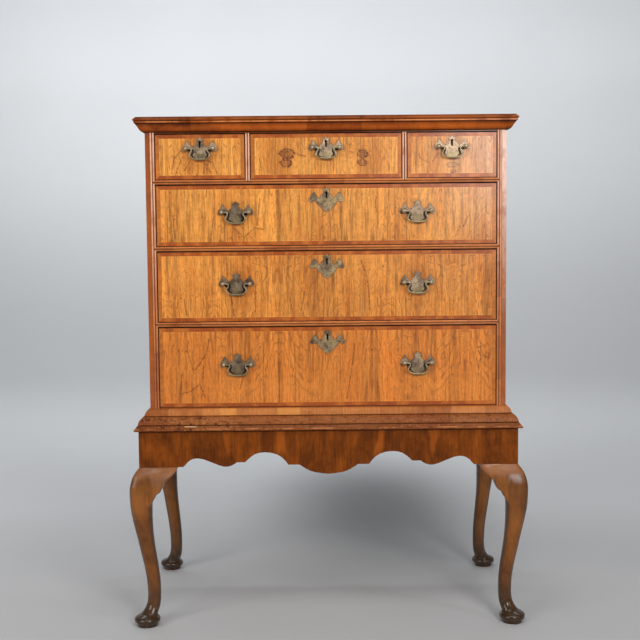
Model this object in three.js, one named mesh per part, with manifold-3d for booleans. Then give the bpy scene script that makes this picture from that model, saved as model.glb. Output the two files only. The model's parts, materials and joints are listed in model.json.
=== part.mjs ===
// Walnut highboy: a chest of six drawers on a stand with four cabriole legs.
// Millimetres. X runs from left to right, Y from front to back, Z up from the floor.
import * as THREE from "three";
import { mergeVertices } from "three/addons/utils/BufferGeometryUtils.js";
import Module from "manifold-3d";

const wasm = await Module();
wasm.setup();

// Clearances
const seatGap = 0.3;
const overrun = 5;

// Case
const caseWidth = 954;
const caseDepth = 484;
const sideThickness = 25;
const stileBand = 12;
const beadProud = 2.6;
const beadGroove = 0.8;
const railHeight = 12.4;
const railDepth = 60;
const railHousing = 6;
const beadMouldingDepth = 8;
const dustboardThickness = 8;
const backThickness = 12;
const backRebate = 10;
const caseTopThickness = 20;
const topRailHeight = 22;
const bottomThickness = 20;
const bottomBearerDepth = 25;
const waistHeight = 57;
const waistProjection = 40;
const waistCover = 2;
const corniceHeight = 39;
const corniceProjection = 28;

// Stand: it stands out past the case in front and at both sides, and is flush behind
const standStep = 29;
const standWidth = caseWidth + 2 * standStep;
const standDepth = caseDepth + standStep;
const legHeight = 435;
const apronHeight = 96;
const apronThickness = 34;
const apronFacing = 4;
const backRailThickness = 25;
const postWidth = 46;
const tenonLength = 20;
const tenonThickness = 10;
const tenonInset = 8;
const tenonShoulder = 15;
const footInset = 12;
const padRadius = 35;
const footHeight = 36;
const bracketReach = 101;
const bracketDrop = 88;
const bracketThickness = 26;

// Drawers
const shortFrontHeight = 118;
const upperFrontHeight = 160;
const middleFrontHeight = 186;
const lowerFrontHeight = 214;
const dividerOffset = 207;
const gapAbove = 2.3;
const gapBelow = 1;
const gapBeside = 1.5;
const frontThickness = 20;
const frontLap = 6;
const drawerBackGap = 17;
const drawerLength = caseDepth - backThickness - drawerBackGap;
const drawerSideThickness = 8;
const drawerSideDrop = 6;
const drawerBottomThickness = 6;
const drawerBottomRise = 6;
const drawerBottomHousing = 5;
const drawerBackDrop = 14;

// Locks and keyholes
const lockWidth = 54;
const lockHeight = 46;
const lockThickness = 11;
const lockSetIn = 10;
const selvageThickness = 2;
const selvageWidth = 62;
const selvageDepth = 12;
const keyholeRadius = 2.7;
const keyholeSlotWidth = 3.2;
const keyholeHeight = 15;
const lockKeyDepth = 6;
const shortKeyholeDrop = 21.2;
const longKeyholeDrop = 22;

// Brasses
const plateHalfWidth = 46;
const plateHalfHeight = 28.5;
const plateThickness = 1.8;
const postSpacing = 72;
const postNeckRadius = 3.4;
const postCollarRadius = 6;
const postHeadRadius = 6;
const pivotStandOff = 15;
const boltRadius = 2.5;
const nutRadius = 6;
const nutThickness = 4;
const bailPinRadius = 1.8;
const bailPinReach = 6;
const bailSideRadius = 1.6;
const bailGripRadius = 2.4;
const bailHalfWidth = 26.4;
const bailDrop = 28.8;
const shortPivotDrop = 37.5;
const longHandleOffset = 241;
const longPivotRise = 8;
const escutcheonHalfWidth = 46.5;
const escutcheonHalfHeight = 32.6;
const escutcheonThickness = 1.5;
const escutcheonDrop = 41.2;

// Places worked out from the sizes
const standTop = legHeight + apronHeight;
const standFront = -standDepth / 2;
const standBack = standDepth / 2;
const caseBack = standBack;
const caseFront = caseBack - caseDepth;
const caseFoot = standTop + seatGap;
const openingHalf = caseWidth / 2 - sideThickness;
const backFace = caseBack - backThickness;
const caseFloor = caseFoot + waistHeight + waistCover;
const shortOpeningHalf = (openingHalf - dividerOffset - railHeight / 2) / 2;
const shortOffset = openingHalf - shortOpeningHalf;
const centreOpeningHalf = dividerOffset - railHeight / 2;

function openingHeight(frontHeight) {
  return gapBelow + frontHeight + gapAbove;
}

const lowerRailFoot = caseFloor + openingHeight(lowerFrontHeight);
const middleRailFoot = lowerRailFoot + railHeight + openingHeight(middleFrontHeight);
const upperRailFoot = middleRailFoot + railHeight + openingHeight(upperFrontHeight);
const topRailFoot = upperRailFoot + railHeight + openingHeight(shortFrontHeight);
const caseTopFoot = topRailFoot + topRailHeight + seatGap;
const caseHead = caseTopFoot + caseTopThickness;
const corniceFoot = caseHead - corniceHeight;
const waistHead = caseFoot + waistHeight;

// Colours, roughness and metalness of each finish
const finishes = {
  figured_veneer: { color: 0xc98a4c, roughness: 0.38, metalness: 0 },
  moulding_walnut: { color: 0x8f5a34, roughness: 0.42, metalness: 0 },
  side_veneer: { color: 0xa0622f, roughness: 0.42, metalness: 0 },
  apron_veneer: { color: 0x7a4018, roughness: 0.36, metalness: 0 },
  leg_walnut: { color: 0x6b4020, roughness: 0.38, metalness: 0 },
  carcase_oak: { color: 0x9a7a52, roughness: 0.7, metalness: 0 },
  drawer_oak: { color: 0xb08a5c, roughness: 0.65, metalness: 0 },
  aged_brass: { color: 0x8f8562, roughness: 0.45, metalness: 0.8 },
  lock_iron: { color: 0x55504a, roughness: 0.5, metalness: 0.8 },
};

const highboy = new THREE.Group();

function addPiece(group, name, geometry, finish) {
  const mesh = new THREE.Mesh(geometry, new THREE.MeshStandardMaterial(finishes[finish]));
  mesh.name = name;
  group.add(mesh);
  return mesh;
}

function groupAt(parent, x, y, z) {
  const group = new THREE.Group();
  group.position.set(x, y, z);
  parent.add(group);
  return group;
}

// Solids from geometry, and geometry from solids
function positionsOnly(geometry) {
  const bare = geometry.clone();
  bare.deleteAttribute("normal");
  bare.deleteAttribute("uv");
  return mergeVertices(bare);
}

function toSolid(geometry) {
  const merged = positionsOnly(geometry);
  return new wasm.Manifold(new wasm.Mesh({
    numProp: 3,
    vertProperties: new Float32Array(merged.attributes.position.array),
    triVerts: new Uint32Array(merged.index.array),
  }));
}

function toGeometry(solid) {
  const mesh = solid.getMesh();
  const geometry = new THREE.BufferGeometry();
  geometry.setAttribute("position", new THREE.BufferAttribute(mesh.vertProperties, 3));
  geometry.setIndex(new THREE.BufferAttribute(mesh.triVerts, 1));
  return geometry;
}

function cutAway(geometry, cutters) {
  let solid = toSolid(geometry);
  for (const cutter of cutters) {
    solid = solid.subtract(toSolid(cutter));
  }
  return toGeometry(solid);
}

function joinUp(geometries) {
  let solid = toSolid(geometries[0]);
  for (const geometry of geometries.slice(1)) {
    solid = solid.add(toSolid(geometry));
  }
  return toGeometry(solid);
}

function meet(a, b) {
  return toGeometry(toSolid(a).intersect(toSolid(b)));
}

function block(x0, x1, y0, y1, z0, z1) {
  const box = new THREE.BoxGeometry(x1 - x0, y1 - y0, z1 - z0);
  return box.translate((x0 + x1) / 2, (y0 + y1) / 2, (z0 + z1) / 2);
}

// An outline of [first, second] points pushed along the third axis, from low to high.
// plan: outline in X and Y, pushed along Z. side: outline in Y and Z, pushed along X.
// front: outline in X and Z, pushed along Y.
function pushOutline(view, outline, low, high) {
  const shape = new THREE.Shape(outline.map(([u, v]) => new THREE.Vector2(u, v)));
  const geometry = new THREE.ExtrudeGeometry(shape, { depth: high - low, bevelEnabled: false });
  if (view === "plan") {
    return geometry.translate(0, 0, low);
  }
  if (view === "side") {
    return geometry.rotateX(Math.PI / 2).rotateZ(Math.PI / 2).translate(low, 0, 0);
  }
  return geometry.rotateX(Math.PI / 2).translate(0, high, 0);
}

// Triangles of a flat end: those of its outline, or a fan about the ring's last point
function endFaces(count, endOutline) {
  if (endOutline) {
    const faces = THREE.ShapeUtils.triangulateShape(endOutline, []);
    return THREE.ShapeUtils.isClockWise(endOutline) ? faces.map(([i, j, k]) => [i, k, j]) : faces;
  }
  return Array.from({ length: count - 2 }, (_, i) => [count - 1, i, i + 1]);
}

// A closed skin over rings of matching points, with flat ends
function loft(rings, endOutline) {
  const count = rings[0].length;
  const positions = rings.flat().flatMap((p) => [p.x, p.y, p.z]);
  const faces = [];
  for (let r = 0; r + 1 < rings.length; r += 1) {
    for (let i = 0; i < count; i += 1) {
      const a = r * count + i;
      const b = r * count + ((i + 1) % count);
      faces.push(a, b, a + count, b, b + count, a + count);
    }
  }
  const last = (rings.length - 1) * count;
  for (const [i, j, k] of endFaces(count, endOutline)) {
    faces.push(k, j, i, last + i, last + j, last + k);
  }
  const geometry = new THREE.BufferGeometry();
  geometry.setAttribute("position", new THREE.Float32BufferAttribute(positions, 3));
  geometry.setIndex(faces);
  return faceOutward(geometry);
}

function signedVolume(geometry) {
  const place = geometry.attributes.position;
  const index = geometry.index.array;
  const [a, b, c] = [new THREE.Vector3(), new THREE.Vector3(), new THREE.Vector3()];
  let total = 0;
  for (let i = 0; i < index.length; i += 3) {
    a.fromBufferAttribute(place, index[i]);
    b.fromBufferAttribute(place, index[i + 1]);
    c.fromBufferAttribute(place, index[i + 2]);
    total += a.dot(b.cross(c));
  }
  return total;
}

function faceOutward(geometry) {
  if (signedVolume(geometry) < 0) {
    const index = geometry.index.array;
    for (let i = 0; i < index.length; i += 3) {
      [index[i + 1], index[i + 2]] = [index[i + 2], index[i + 1]];
    }
  }
  return geometry;
}

function mirrored(geometry, alongX, alongY) {
  return faceOutward(geometry.clone().scale(alongX, alongY, 1));
}

// Points on a smooth curve through share points, scaled by two sizes
function curveThrough(shares, width, height, steps) {
  const through = shares.map(([u, v]) => new THREE.Vector2(u * width, v * height));
  const points = new THREE.SplineCurve(through).getPoints(steps);
  return points.map((p) => [p.x, p.y]);
}

// The half outline, given from top to bottom or from middle to end, and its mirror image
function bothHalves(half) {
  const other = half.filter(([u]) => u !== 0).map(([u, v]) => [-u, v]);
  return [...half, ...other.reverse()];
}

// Double-bead edge: two half-round beads with a groove between, across a width.
// Points are [place across the width, distance in front of the face].
const beadSteps = 5;

function doubleBead(width) {
  const beadWidth = (width - beadGroove) / 2;
  const points = [];
  for (const start of [0, beadWidth + beadGroove]) {
    for (let i = 0; i <= beadSteps; i += 1) {
      const turn = (Math.PI * i) / beadSteps;
      points.push([start + (beadWidth * (1 - Math.cos(turn))) / 2, beadProud * Math.sin(turn)]);
    }
  }
  return points;
}

// A moulding round the front and both sides of the case. The profile's points are
// [distance out from the case, height]; the corners are mitred.
function mitredMoulding(profile) {
  const stations = [[-1, caseBack, 0], [-1, caseFront, -1], [1, caseFront, -1], [1, caseBack, 0]];
  const rings = stations.map(([side, y, step]) =>
    profile.map(([out, z]) => new THREE.Vector3(side * (caseWidth / 2 + out), y + step * out, z)));
  return loft(rings, profile.map(([out, z]) => new THREE.Vector2(out, z)));
}

// Drawer rail with its dustboard. Grown all round by a clearance it is the cutter of its own housing.
// The bead ends in a point that reaches the groove of the upright bead.
function railSolid(z, grow) {
  const foot = z - grow;
  const head = z + railHeight + grow;
  const half = (head - foot) / 2;
  const middle = (head + foot) / 2;
  const edge = openingHalf - seatGap + grow;
  const faceBack = caseFront + beadMouldingDepth;
  const reach = openingHalf + railHousing + grow;
  const shelf = z + railHeight - dustboardThickness - grow;
  const body = pushOutline("side", [
    [faceBack - grow, foot],
    [caseFront + railDepth + grow, foot],
    [caseFront + railDepth + grow, shelf],
    [backFace - seatGap, shelf],
    [backFace - seatGap, head],
    [faceBack - grow, head],
  ], -reach, reach);
  const pointed = pushOutline("front", [
    [-edge - half, middle],
    [-edge, foot],
    [edge, foot],
    [edge + half, middle],
    [edge, head],
    [-edge, head],
  ], caseFront - overrun, faceBack);
  const beads = pushOutline("side", [
    ...doubleBead(head - foot).map(([across, proud]) => [caseFront - proud, foot + across]),
    [faceBack + overrun, head],
    [faceBack + overrun, foot],
  ], -edge - half - overrun, edge + half + overrun);
  const link = block(overrun - edge, edge - overrun, caseFront + overrun, faceBack + overrun, foot, head);
  return joinUp([body, link, grow > 0 ? pointed : meet(beads, pointed)]);
}

// Upright divider between two short drawers; its bead ends in a point on the rail below
function dividerSolid(x, grow) {
  const half = railHeight / 2 + grow;
  const railHead = upperRailFoot + railHeight;
  const bodyFoot = railHead + seatGap - grow;
  const head = topRailFoot - seatGap;
  const faceBack = caseFront + beadMouldingDepth;
  const body = block(x - half, x + half, faceBack, backFace - seatGap, bodyFoot, head);
  const pointed = pushOutline("front", [
    [x - half, head],
    [x - half, bodyFoot],
    [x, bodyFoot - half],
    [x + half, bodyFoot],
    [x + half, head],
  ], caseFront - overrun, faceBack);
  const beads = pushOutline("plan", [
    ...doubleBead(2 * half).map(([across, proud]) => [x - half + across, caseFront - proud]),
    [x + half, faceBack + overrun],
    [x - half, faceBack + overrun],
  ], bodyFoot - half - overrun, head);
  const link = block(x - half, x + half, caseFront + overrun, faceBack + overrun, railHead + overrun, head);
  return joinUp([body, link, grow > 0 ? pointed : meet(beads, pointed)]);
}

// Case side: outline in plan, from the front edge round to the back rebate. Its beads stop at the
// cornice and at the waist moulding.
function caseSide() {
  const outer = caseWidth / 2;
  const beads = doubleBead(sideThickness - stileBand)
    .map(([across, proud]) => [outer - stileBand - across, caseFront - proud]);
  const board = pushOutline("plan", [
    [outer, caseFront],
    ...beads,
    [openingHalf, backFace],
    [openingHalf + backRebate, backFace],
    [openingHalf + backRebate, caseBack],
    [outer, caseBack],
  ], caseFoot, caseTopFoot - seatGap);
  const grooves = [lowerRailFoot, middleRailFoot, upperRailFoot].map((z) => railSolid(z, seatGap));
  const proud = [openingHalf - overrun, outer + overrun, caseFront - overrun, caseFront];
  const behindMouldings = [
    block(...proud, corniceFoot - seatGap, caseHead),
    block(...proud, 0, waistHead + seatGap),
  ];
  return cutAway(board, [...grooves, ...behindMouldings]);
}

// Bottom board with the bearer under its front edge, as one outline seen from the side
function caseBottom() {
  const half = openingHalf - seatGap;
  const underside = caseFloor - bottomThickness;
  return pushOutline("side", [
    [caseFront, caseFoot],
    [caseFront + bottomBearerDepth, caseFoot],
    [caseFront + bottomBearerDepth, underside],
    [backFace - seatGap, underside],
    [backFace - seatGap, caseFloor],
    [caseFront, caseFloor],
  ], -half, half);
}

// Mouldings: shares of the projection and of the height, from the top edge down
const corniceShares = [
  [0.71, 0], [1, 0.18], [0.95, 0.24], [0.89, 0.26], [0.89, 0.34], [0.78, 0.39],
  [0.64, 0.53], [0.54, 0.67], [0.45, 0.82], [0.3, 0.94], [0.12, 1],
];
const waistShares = [
  [0.06, 0], [0.15, 0.03], [0.24, 0.1], [0.31, 0.19], [0.35, 0.3], [0.35, 0.34],
  [0.41, 0.35], [0.5, 0.38], [0.63, 0.47], [0.72, 0.58], [0.75, 0.67], [0.75, 0.73],
  [0.83, 0.76], [0.88, 0.81], [0.94, 0.86], [1, 0.9], [1, 0.95], [0.93, 0.98], [0.8, 1],
];

function mouldingProfile(shares, projection, head, height) {
  const face = shares.map(([out, down]) => [out * projection, head - down * height]);
  return [[seatGap, head], ...face, [seatGap, head - height]];
}

// Stand: the front apron's shaped lower edge, in shares of the half width and of the apron's height
const pendantShares = [[0, 1.231], [0.0725, 1.183], [0.118, 1.0875], [0.154, 0.963]];
const innerArchShares = [
  [0.213, 0.963], [0.24, 0.785], [0.281, 0.652], [0.3355, 0.608], [0.381, 0.642], [0.417, 0.762], [0.44, 0.881],
];
const outerArchShares = [
  [0.485, 0.881], [0.508, 0.9625], [0.539, 1.005], [0.571, 0.975], [0.619, 0.876], [0.66, 0.79],
  [0.693, 0.7625], [0.717, 0.78], [0.74, 0.848], [0.757, 0.947], [0.767, 1],
];
const sideArchShares = [[0.36, 0.8], [0.44, 0.82], [0.5, 0.9], [0.55, 1]];

function apronEdge(lobes, halfLength) {
  return lobes.flatMap(([shares, steps]) => curveThrough(shares, halfLength, apronHeight, steps))
    .map(([along, down]) => [along, standTop - down]);
}

// A block between two places on each axis, given in either order and grown by a clearance
function tenon([x0, x1], [y0, y1], grow) {
  return block(Math.min(x0, x1) - grow, Math.max(x0, x1) + grow,
    Math.min(y0, y1) - grow, Math.max(y0, y1) + grow,
    legHeight + tenonShoulder - grow, standTop - tenonShoulder + grow);
}

const postOuter = standWidth / 2 - apronFacing - seatGap;
const postInner = postOuter - postWidth;
const frontPostFace = standFront + apronFacing + seatGap;
const frontPostBack = frontPostFace + postWidth;
const rearPostFront = standBack - postWidth;

// A tenon along X at each end of the front apron and the back rail
function crossTenons(tenonFace, grow) {
  return [-1, 1].map((side) => tenon(
    [side * (postInner - seatGap - overrun), side * (postInner + tenonLength)],
    [tenonFace, tenonFace + tenonThickness], grow));
}

// A tenon along Y at each end of a side apron
function lengthTenons(side, grow) {
  const outer = side * (standWidth / 2 - tenonInset - apronFacing);
  const across = [outer, outer - side * tenonThickness];
  return [
    tenon(across, [frontPostBack - tenonLength, frontPostBack + seatGap + overrun], grow),
    tenon(across, [rearPostFront - seatGap - overrun, rearPostFront + tenonLength], grow),
  ];
}

const frontTenonFace = standFront + apronFacing + tenonInset;
const backTenonFace = standBack - backRailThickness + tenonInset;

function apronFront() {
  const half = standWidth / 2;
  const edge = apronEdge([[pendantShares, 6], [innerArchShares, 10], [outerArchShares, 16]], half);
  const lower = bothHalves([...edge, [half, legHeight]]);
  const board = pushOutline("front", [
    ...lower.slice(0, edge.length + 1),
    [half, standTop],
    [-half, standTop],
    ...lower.slice(edge.length + 1),
  ], standFront, standFront + apronThickness);
  const rebates = [-1, 1].map((side) => block(
    Math.min(side * (postInner - seatGap), side * (half + overrun)),
    Math.max(side * (postInner - seatGap), side * (half + overrun)),
    standFront + apronFacing, standFront + apronThickness + overrun, legHeight - overrun, standTop + overrun));
  return joinUp([cutAway(board, rebates), ...crossTenons(frontTenonFace, 0)]);
}

function apronSide(side) {
  const front = standFront + apronFacing + seatGap;
  const half = (standBack - front) / 2;
  const middle = (standBack + front) / 2;
  const lower = apronEdge([[sideArchShares, 6]], half);
  const outline = [
    ...lower.map(([along, z]) => [middle + along, z]),
    [standBack, legHeight],
    [standBack, standTop],
    [front, standTop],
    [front, legHeight],
    ...lower.map(([along, z]) => [middle - along, z]).reverse(),
  ];
  const outer = side * standWidth / 2;
  const inner = outer - side * apronThickness;
  const board = pushOutline("side", outline, Math.min(outer, inner), Math.max(outer, inner));
  const hidden = outer - side * apronFacing;
  const past = inner - side * overrun;
  const [x0, x1] = [Math.min(hidden, past), Math.max(hidden, past)];
  const rebates = [
    block(x0, x1, front - overrun, frontPostBack + seatGap, legHeight - overrun, standTop + overrun),
    block(x0, x1, rearPostFront - seatGap, standBack + overrun, legHeight - overrun, standTop + overrun),
  ];
  return joinUp([cutAway(board, rebates), ...lengthTenons(side, 0)]);
}

function backRail() {
  const board = block(seatGap - postInner, postInner - seatGap,
    standBack - backRailThickness, standBack, legHeight, standTop);
  return joinUp([board, ...crossTenons(backTenonFace, 0)]);
}

// Cabriole leg, centred on its foot, with outward directions positive. Each row holds a height
// share, the reach outward and the reach inward in shares of the pad's radius, and a squareness.
const footShares = [
  [0, 0.77, 0.77, 2], [0.2, 0.79, 0.79, 2], [0.32, 0.96, 0.96, 2], [0.5, 1, 1, 2],
  [0.68, 0.9, 0.89, 2], [0.81, 0.66, 0.78, 2], [1, 0.385, 0.825, 2],
];
const legShares = [
  [0.035, 0.141, 0.943, 2], [0.08, 0.028, 1, 2], [0.135, 0.01, 1.014, 2], [0.21, 0.06, 0.995, 2],
  [0.305, 0.203, 0.9, 2.05], [0.4, 0.4, 0.77, 2.1], [0.5, 0.604, 0.65, 2.2], [0.605, 0.84, 0.585, 2.35],
  [0.71, 1.037, 0.585, 2.6], [0.8, 1.108, 0.61, 3], [0.86, 1.08, 0.63, 3.5], [0.9, 0.99, 0.73, 4],
  [0.935, 0.858, 0.83, 4.6], [0.965, 0.67, 0.94, 5.5],
];
const legSides = 14;

function legRing(z, outward, inward, squareness) {
  const centre = (outward - inward) / 2;
  const half = (outward + inward) / 2;
  const points = [];
  for (let i = 0; i < legSides; i += 1) {
    const turn = (2 * Math.PI * (i + 0.5)) / legSides;
    const [c, s] = [Math.cos(turn), Math.sin(turn)];
    points.push(new THREE.Vector3(
      centre + half * Math.sign(c) * Math.abs(c) ** (2 / squareness),
      centre + half * Math.sign(s) * Math.abs(s) ** (2 / squareness),
      z));
  }
  return points;
}

const kneeTop = legHeight - seatGap;
const postOutward = footInset;
const postInward = apronFacing + seatGap + postWidth - footInset;
const kneeSquareness = 8;

function legBody() {
  const shank = legHeight - footHeight;
  const rings = [
    ...footShares.map(([up, out, inn, n]) => legRing(up * footHeight, out * padRadius, inn * padRadius, n)),
    ...legShares.map(([up, out, inn, n]) => legRing(footHeight + up * shank, out * padRadius, inn * padRadius, n)),
    legRing(kneeTop, postOutward, postInward, kneeSquareness),
  ];
  return loft(rings);
}

// Knee bracket: its lower edge, in shares of the reach and of the drop, from the tip to the leg,
// and the swell of the knee below the apron, in shares of the drop and of the pad's radius
const bracketShares = [
  [1, 0.05], [0.95, 0.16], [0.84, 0.29], [0.66, 0.48], [0.61, 0.62], [0.56, 0.74], [0.455, 0.81],
  [0.37, 1], [0.28, 1.14],
];
const swellShares = [[0, 0], [0.17, 0.35], [0.35, 0.565], [0.51, 0.675], [0.67, 0.745], [0.9, 0.765], [1.2, 0.73]];
const swellSteps = 4;
const swellFade = 0.6;

function kneeSwell(down) {
  const share = down / bracketDrop;
  for (let i = 1; i < swellShares.length; i += 1) {
    const [d0, s0] = swellShares[i - 1];
    const [d1, s1] = swellShares[i];
    if (share <= d1) {
      return padRadius * (s0 + ((s1 - s0) * (share - d0)) / (d1 - d0));
    }
  }
  return padRadius * swellShares[swellShares.length - 1][1];
}

function kneeBracket(alongX) {
  const nearest = bracketShares[bracketShares.length - 1][0];
  const rings = bracketShares.map(([reach, drop]) => {
    const along = footInset - reach * bracketReach;
    const fade = (1 - (reach - nearest) / (1 - nearest)) ** swellFade;
    const ring = [];
    for (let i = 0; i <= swellSteps; i += 1) {
      const down = (drop * bracketDrop * i) / swellSteps;
      ring.push([footInset + kneeSwell(down) * fade, kneeTop - down]);
    }
    ring.push([footInset - bracketThickness, kneeTop - drop * bracketDrop]);
    ring.push([footInset - bracketThickness, kneeTop]);
    return ring.map(([across, z]) => (alongX
      ? new THREE.Vector3(along, across, z)
      : new THREE.Vector3(across, along, z)));
  });
  return loft(rings);
}

// A leg of one corner: side is -1 at the left, end is -1 at the front
function cabrioleLeg(side, end) {
  const rear = end > 0;
  const lengthwise = kneeBracket(false);
  const parts = rear ? [legBody(), lengthwise] : [legBody(), lengthwise, kneeBracket(true)];
  const facingX = apronFacing + seatGap;
  const facingY = rear ? 0 : facingX;
  const post = block(footInset - facingX - postWidth, footInset - facingX,
    footInset - facingY - postWidth, footInset - facingY, kneeTop - overrun, standTop);
  const leg = mirrored(joinUp([...parts, post]), side, end);
  const place = legPlace(side, end);
  const mortises = [
    ...crossTenons(rear ? backTenonFace : frontTenonFace, seatGap),
    ...lengthTenons(side, seatGap),
  ].map((cutter) => cutter.translate(-place.x, -place.y, 0));
  return cutAway(leg, mortises);
}

function legPlace(side, end) {
  return new THREE.Vector3(side * (standWidth / 2 - footInset), end * (standDepth / 2 - footInset), 0);
}

// Keyhole: a round with a slot below it; the origin is the middle of the round
const keyholeSteps = 6;

function keyhole(y0, y1, x, z) {
  const half = keyholeSlotWidth / 2;
  const lean = Math.asin(half / keyholeRadius);
  const outline = [];
  for (let i = 0; i <= keyholeSteps; i += 1) {
    const turn = lean - Math.PI / 2 + (2 * (Math.PI - lean) * i) / keyholeSteps;
    outline.push([x + keyholeRadius * Math.cos(turn), z + keyholeRadius * Math.sin(turn)]);
  }
  const foot = z + keyholeRadius - keyholeHeight;
  outline.push([x - half, foot], [x + half, foot]);
  return pushOutline("front", outline, y0, y1);
}

// Cutters for round holes along Y and along X. Their flats lie on the hole's radius.
const holeSides = 6;

function holeAlongY(radius, x, z, y0, y1) {
  const corner = radius / Math.cos(Math.PI / holeSides);
  return new THREE.CylinderGeometry(corner, corner, y1 - y0, holeSides).translate(x, (y0 + y1) / 2, z);
}

function holeAlongX(radius, y, z, x0, x1) {
  const corner = radius / Math.cos(Math.PI / holeSides);
  const cutter = new THREE.CylinderGeometry(corner, corner, x1 - x0, holeSides).rotateZ(Math.PI / 2);
  return cutter.translate((x0 + x1) / 2, y, z);
}

// Drawer pieces. Each drawer's origin is the middle of its front face at the lower edge.
function drawerFront(drawer) {
  const { width, height } = drawer;
  const half = width / 2;
  const inside = half - drawerSideThickness - seatGap;
  const past = frontThickness + overrun;
  const grooveFoot = drawerBottomRise - seatGap;
  const grooveHead = drawerBottomRise + drawerBottomThickness + seatGap;
  const cutters = [
    block(inside, half + overrun, frontLap, past, -overrun, height + overrun),
    block(-half - overrun, -inside, frontLap, past, -overrun, height + overrun),
    block(-half, half, frontThickness - drawerBottomHousing - seatGap, past, grooveFoot, grooveHead),
    block(-lockWidth / 2 - seatGap, lockWidth / 2 + seatGap, frontThickness - lockSetIn - seatGap, past,
      height - lockHeight - seatGap, height + overrun),
    block(-selvageWidth / 2 - seatGap, selvageWidth / 2 + seatGap, frontThickness - selvageDepth - seatGap,
      past, height - selvageThickness - seatGap, height + overrun),
    keyhole(-overrun, frontThickness, 0, height - drawer.keyholeDrop),
  ];
  for (const x of drawer.handles) {
    for (const side of [-1, 1]) {
      cutters.push(holeAlongY(boltRadius + seatGap, x + side * postSpacing / 2, drawer.pivot, -overrun, past));
    }
  }
  return cutAway(block(-half, half, 0, frontThickness, 0, height), cutters);
}

function drawerBox({ width, height }) {
  const half = width / 2;
  const inner = half - drawerSideThickness;
  const housed = half - drawerSideThickness / 2;
  const front = frontLap + seatGap;
  const foot = seatGap - gapBelow;
  const bottomHead = drawerBottomRise + drawerBottomThickness;
  return joinUp([
    block(inner, half, front, drawerLength, foot, height - drawerSideDrop),
    block(-half, -inner, front, drawerLength, foot, height - drawerSideDrop),
    block(-inner + seatGap, inner - seatGap, frontThickness - drawerBottomHousing, frontThickness + overrun,
      drawerBottomRise, bottomHead),
    block(-housed, housed, frontThickness + seatGap, drawerLength - drawerSideThickness / 2,
      drawerBottomRise, bottomHead),
    block(-housed, housed, drawerLength - drawerSideThickness, drawerLength,
      drawerBottomRise + drawerBottomThickness / 2, height - drawerBackDrop),
  ]);
}

function drawerLock({ height, keyholeDrop }) {
  const front = frontThickness - lockSetIn;
  const body = block(-lockWidth / 2, lockWidth / 2, front, front + lockThickness,
    height - lockHeight, height - selvageThickness / 2);
  const selvage = block(-selvageWidth / 2, selvageWidth / 2, frontThickness - selvageDepth, frontThickness,
    height - selvageThickness, height);
  const pocket = keyhole(front - overrun, front + lockKeyDepth, 0, height - keyholeDrop);
  return cutAway(joinUp([body, selvage]), [pocket]);
}

// Batwing backplate: half outline in shares of its half width and half height, from the crown down
const batwingShares = [
  [0, 1], [0.09, 0.86], [0.235, 0.82], [0.15, 0.66], [0.19, 0.48], [0.3, 0.34], [0.34, 0.2],
  [0.42, 0.15], [0.51, 0.25], [0.62, 0.42], [0.765, 0.73], [0.83, 0.46], [0.925, 0.3], [1, 0.05],
  [0.97, -0.2], [0.85, -0.22], [0.74, -0.13], [0.63, -0.22], [0.56, -0.52], [0.34, -0.86], [0, -1],
];
const escutcheonShares = [
  [0, 1], [0.1, 0.88], [0.24, 0.87], [0.16, 0.66], [0.26, 0.42], [0.33, 0.35], [0.37, 0.17], [0.47, 0.13],
  [0.54, 0.29], [0.61, 0.46], [0.69, 0.66], [0.78, 0.55], [0.87, 0.35], [0.96, 0.14], [1, -0.03],
  [0.9, -0.14], [0.75, -0.06], [0.62, -0.1], [0.54, -0.25], [0.41, -0.46], [0.27, -0.64], [0.25, -0.8],
  [0.1, -0.84], [0, -1],
];

function plateSheet(shares, halfWidth, halfHeight, thickness) {
  const half = shares.map(([u, v]) => [u * halfWidth, v * halfHeight]);
  return pushOutline("front", bothHalves(half), -seatGap - thickness, -seatGap);
}

// Bolt post: the ball head takes the bail's end, and the bolt runs through the drawer front to its nut.
// Profile points are [radius, distance in front of the drawer], with head shares of the head's radius.
const headShares = [[0.75, -0.66], [1, 0], [0.75, 0.66]];
const postSides = 7;

function boltPost() {
  const nutFace = -frontThickness - seatGap;
  const nutEnd = nutFace - nutThickness;
  const plateFace = seatGap + plateThickness;
  const collarFace = plateFace + postCollarRadius - postNeckRadius;
  const profile = [
    [0, nutEnd],
    [nutRadius, nutEnd],
    [nutRadius, nutFace],
    [boltRadius, nutFace],
    [boltRadius, seatGap + plateThickness / 2],
    [postCollarRadius, seatGap + plateThickness / 2],
    [postCollarRadius, plateFace],
    [postNeckRadius, collarFace],
    ...headShares.map(([r, t]) => [r * postHeadRadius, pivotStandOff + t * postHeadRadius]),
    [0, pivotStandOff + postHeadRadius],
  ];
  const lathe = new THREE.LatheGeometry(profile.map(([r, t]) => new THREE.Vector2(r, t)), postSides);
  return faceOutward(positionsOnly(lathe).rotateX(Math.PI));
}

function handlePlate(keyholeRise) {
  const sheet = plateSheet(batwingShares, plateHalfWidth, plateHalfHeight, plateThickness);
  const posts = [-1, 1].map((side) => boltPost().translate(side * postSpacing / 2, 0, 0));
  const holeEnd = postSpacing / 2 - postHeadRadius + bailPinReach + seatGap;
  const hole = holeAlongX(bailPinRadius + seatGap, -pivotStandOff, 0, -holeEnd, holeEnd);
  const cutters = keyholeRise === null
    ? [hole]
    : [hole, keyhole(-overrun, overrun, 0, keyholeRise)];
  return cutAway(joinUp([sheet, ...posts]), cutters);
}

function escutcheonPlate(keyholeRise) {
  const sheet = plateSheet(escutcheonShares, escutcheonHalfWidth, escutcheonHalfHeight, escutcheonThickness);
  return cutAway(sheet, [keyhole(-overrun, overrun, 0, keyholeRise)]);
}

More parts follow.
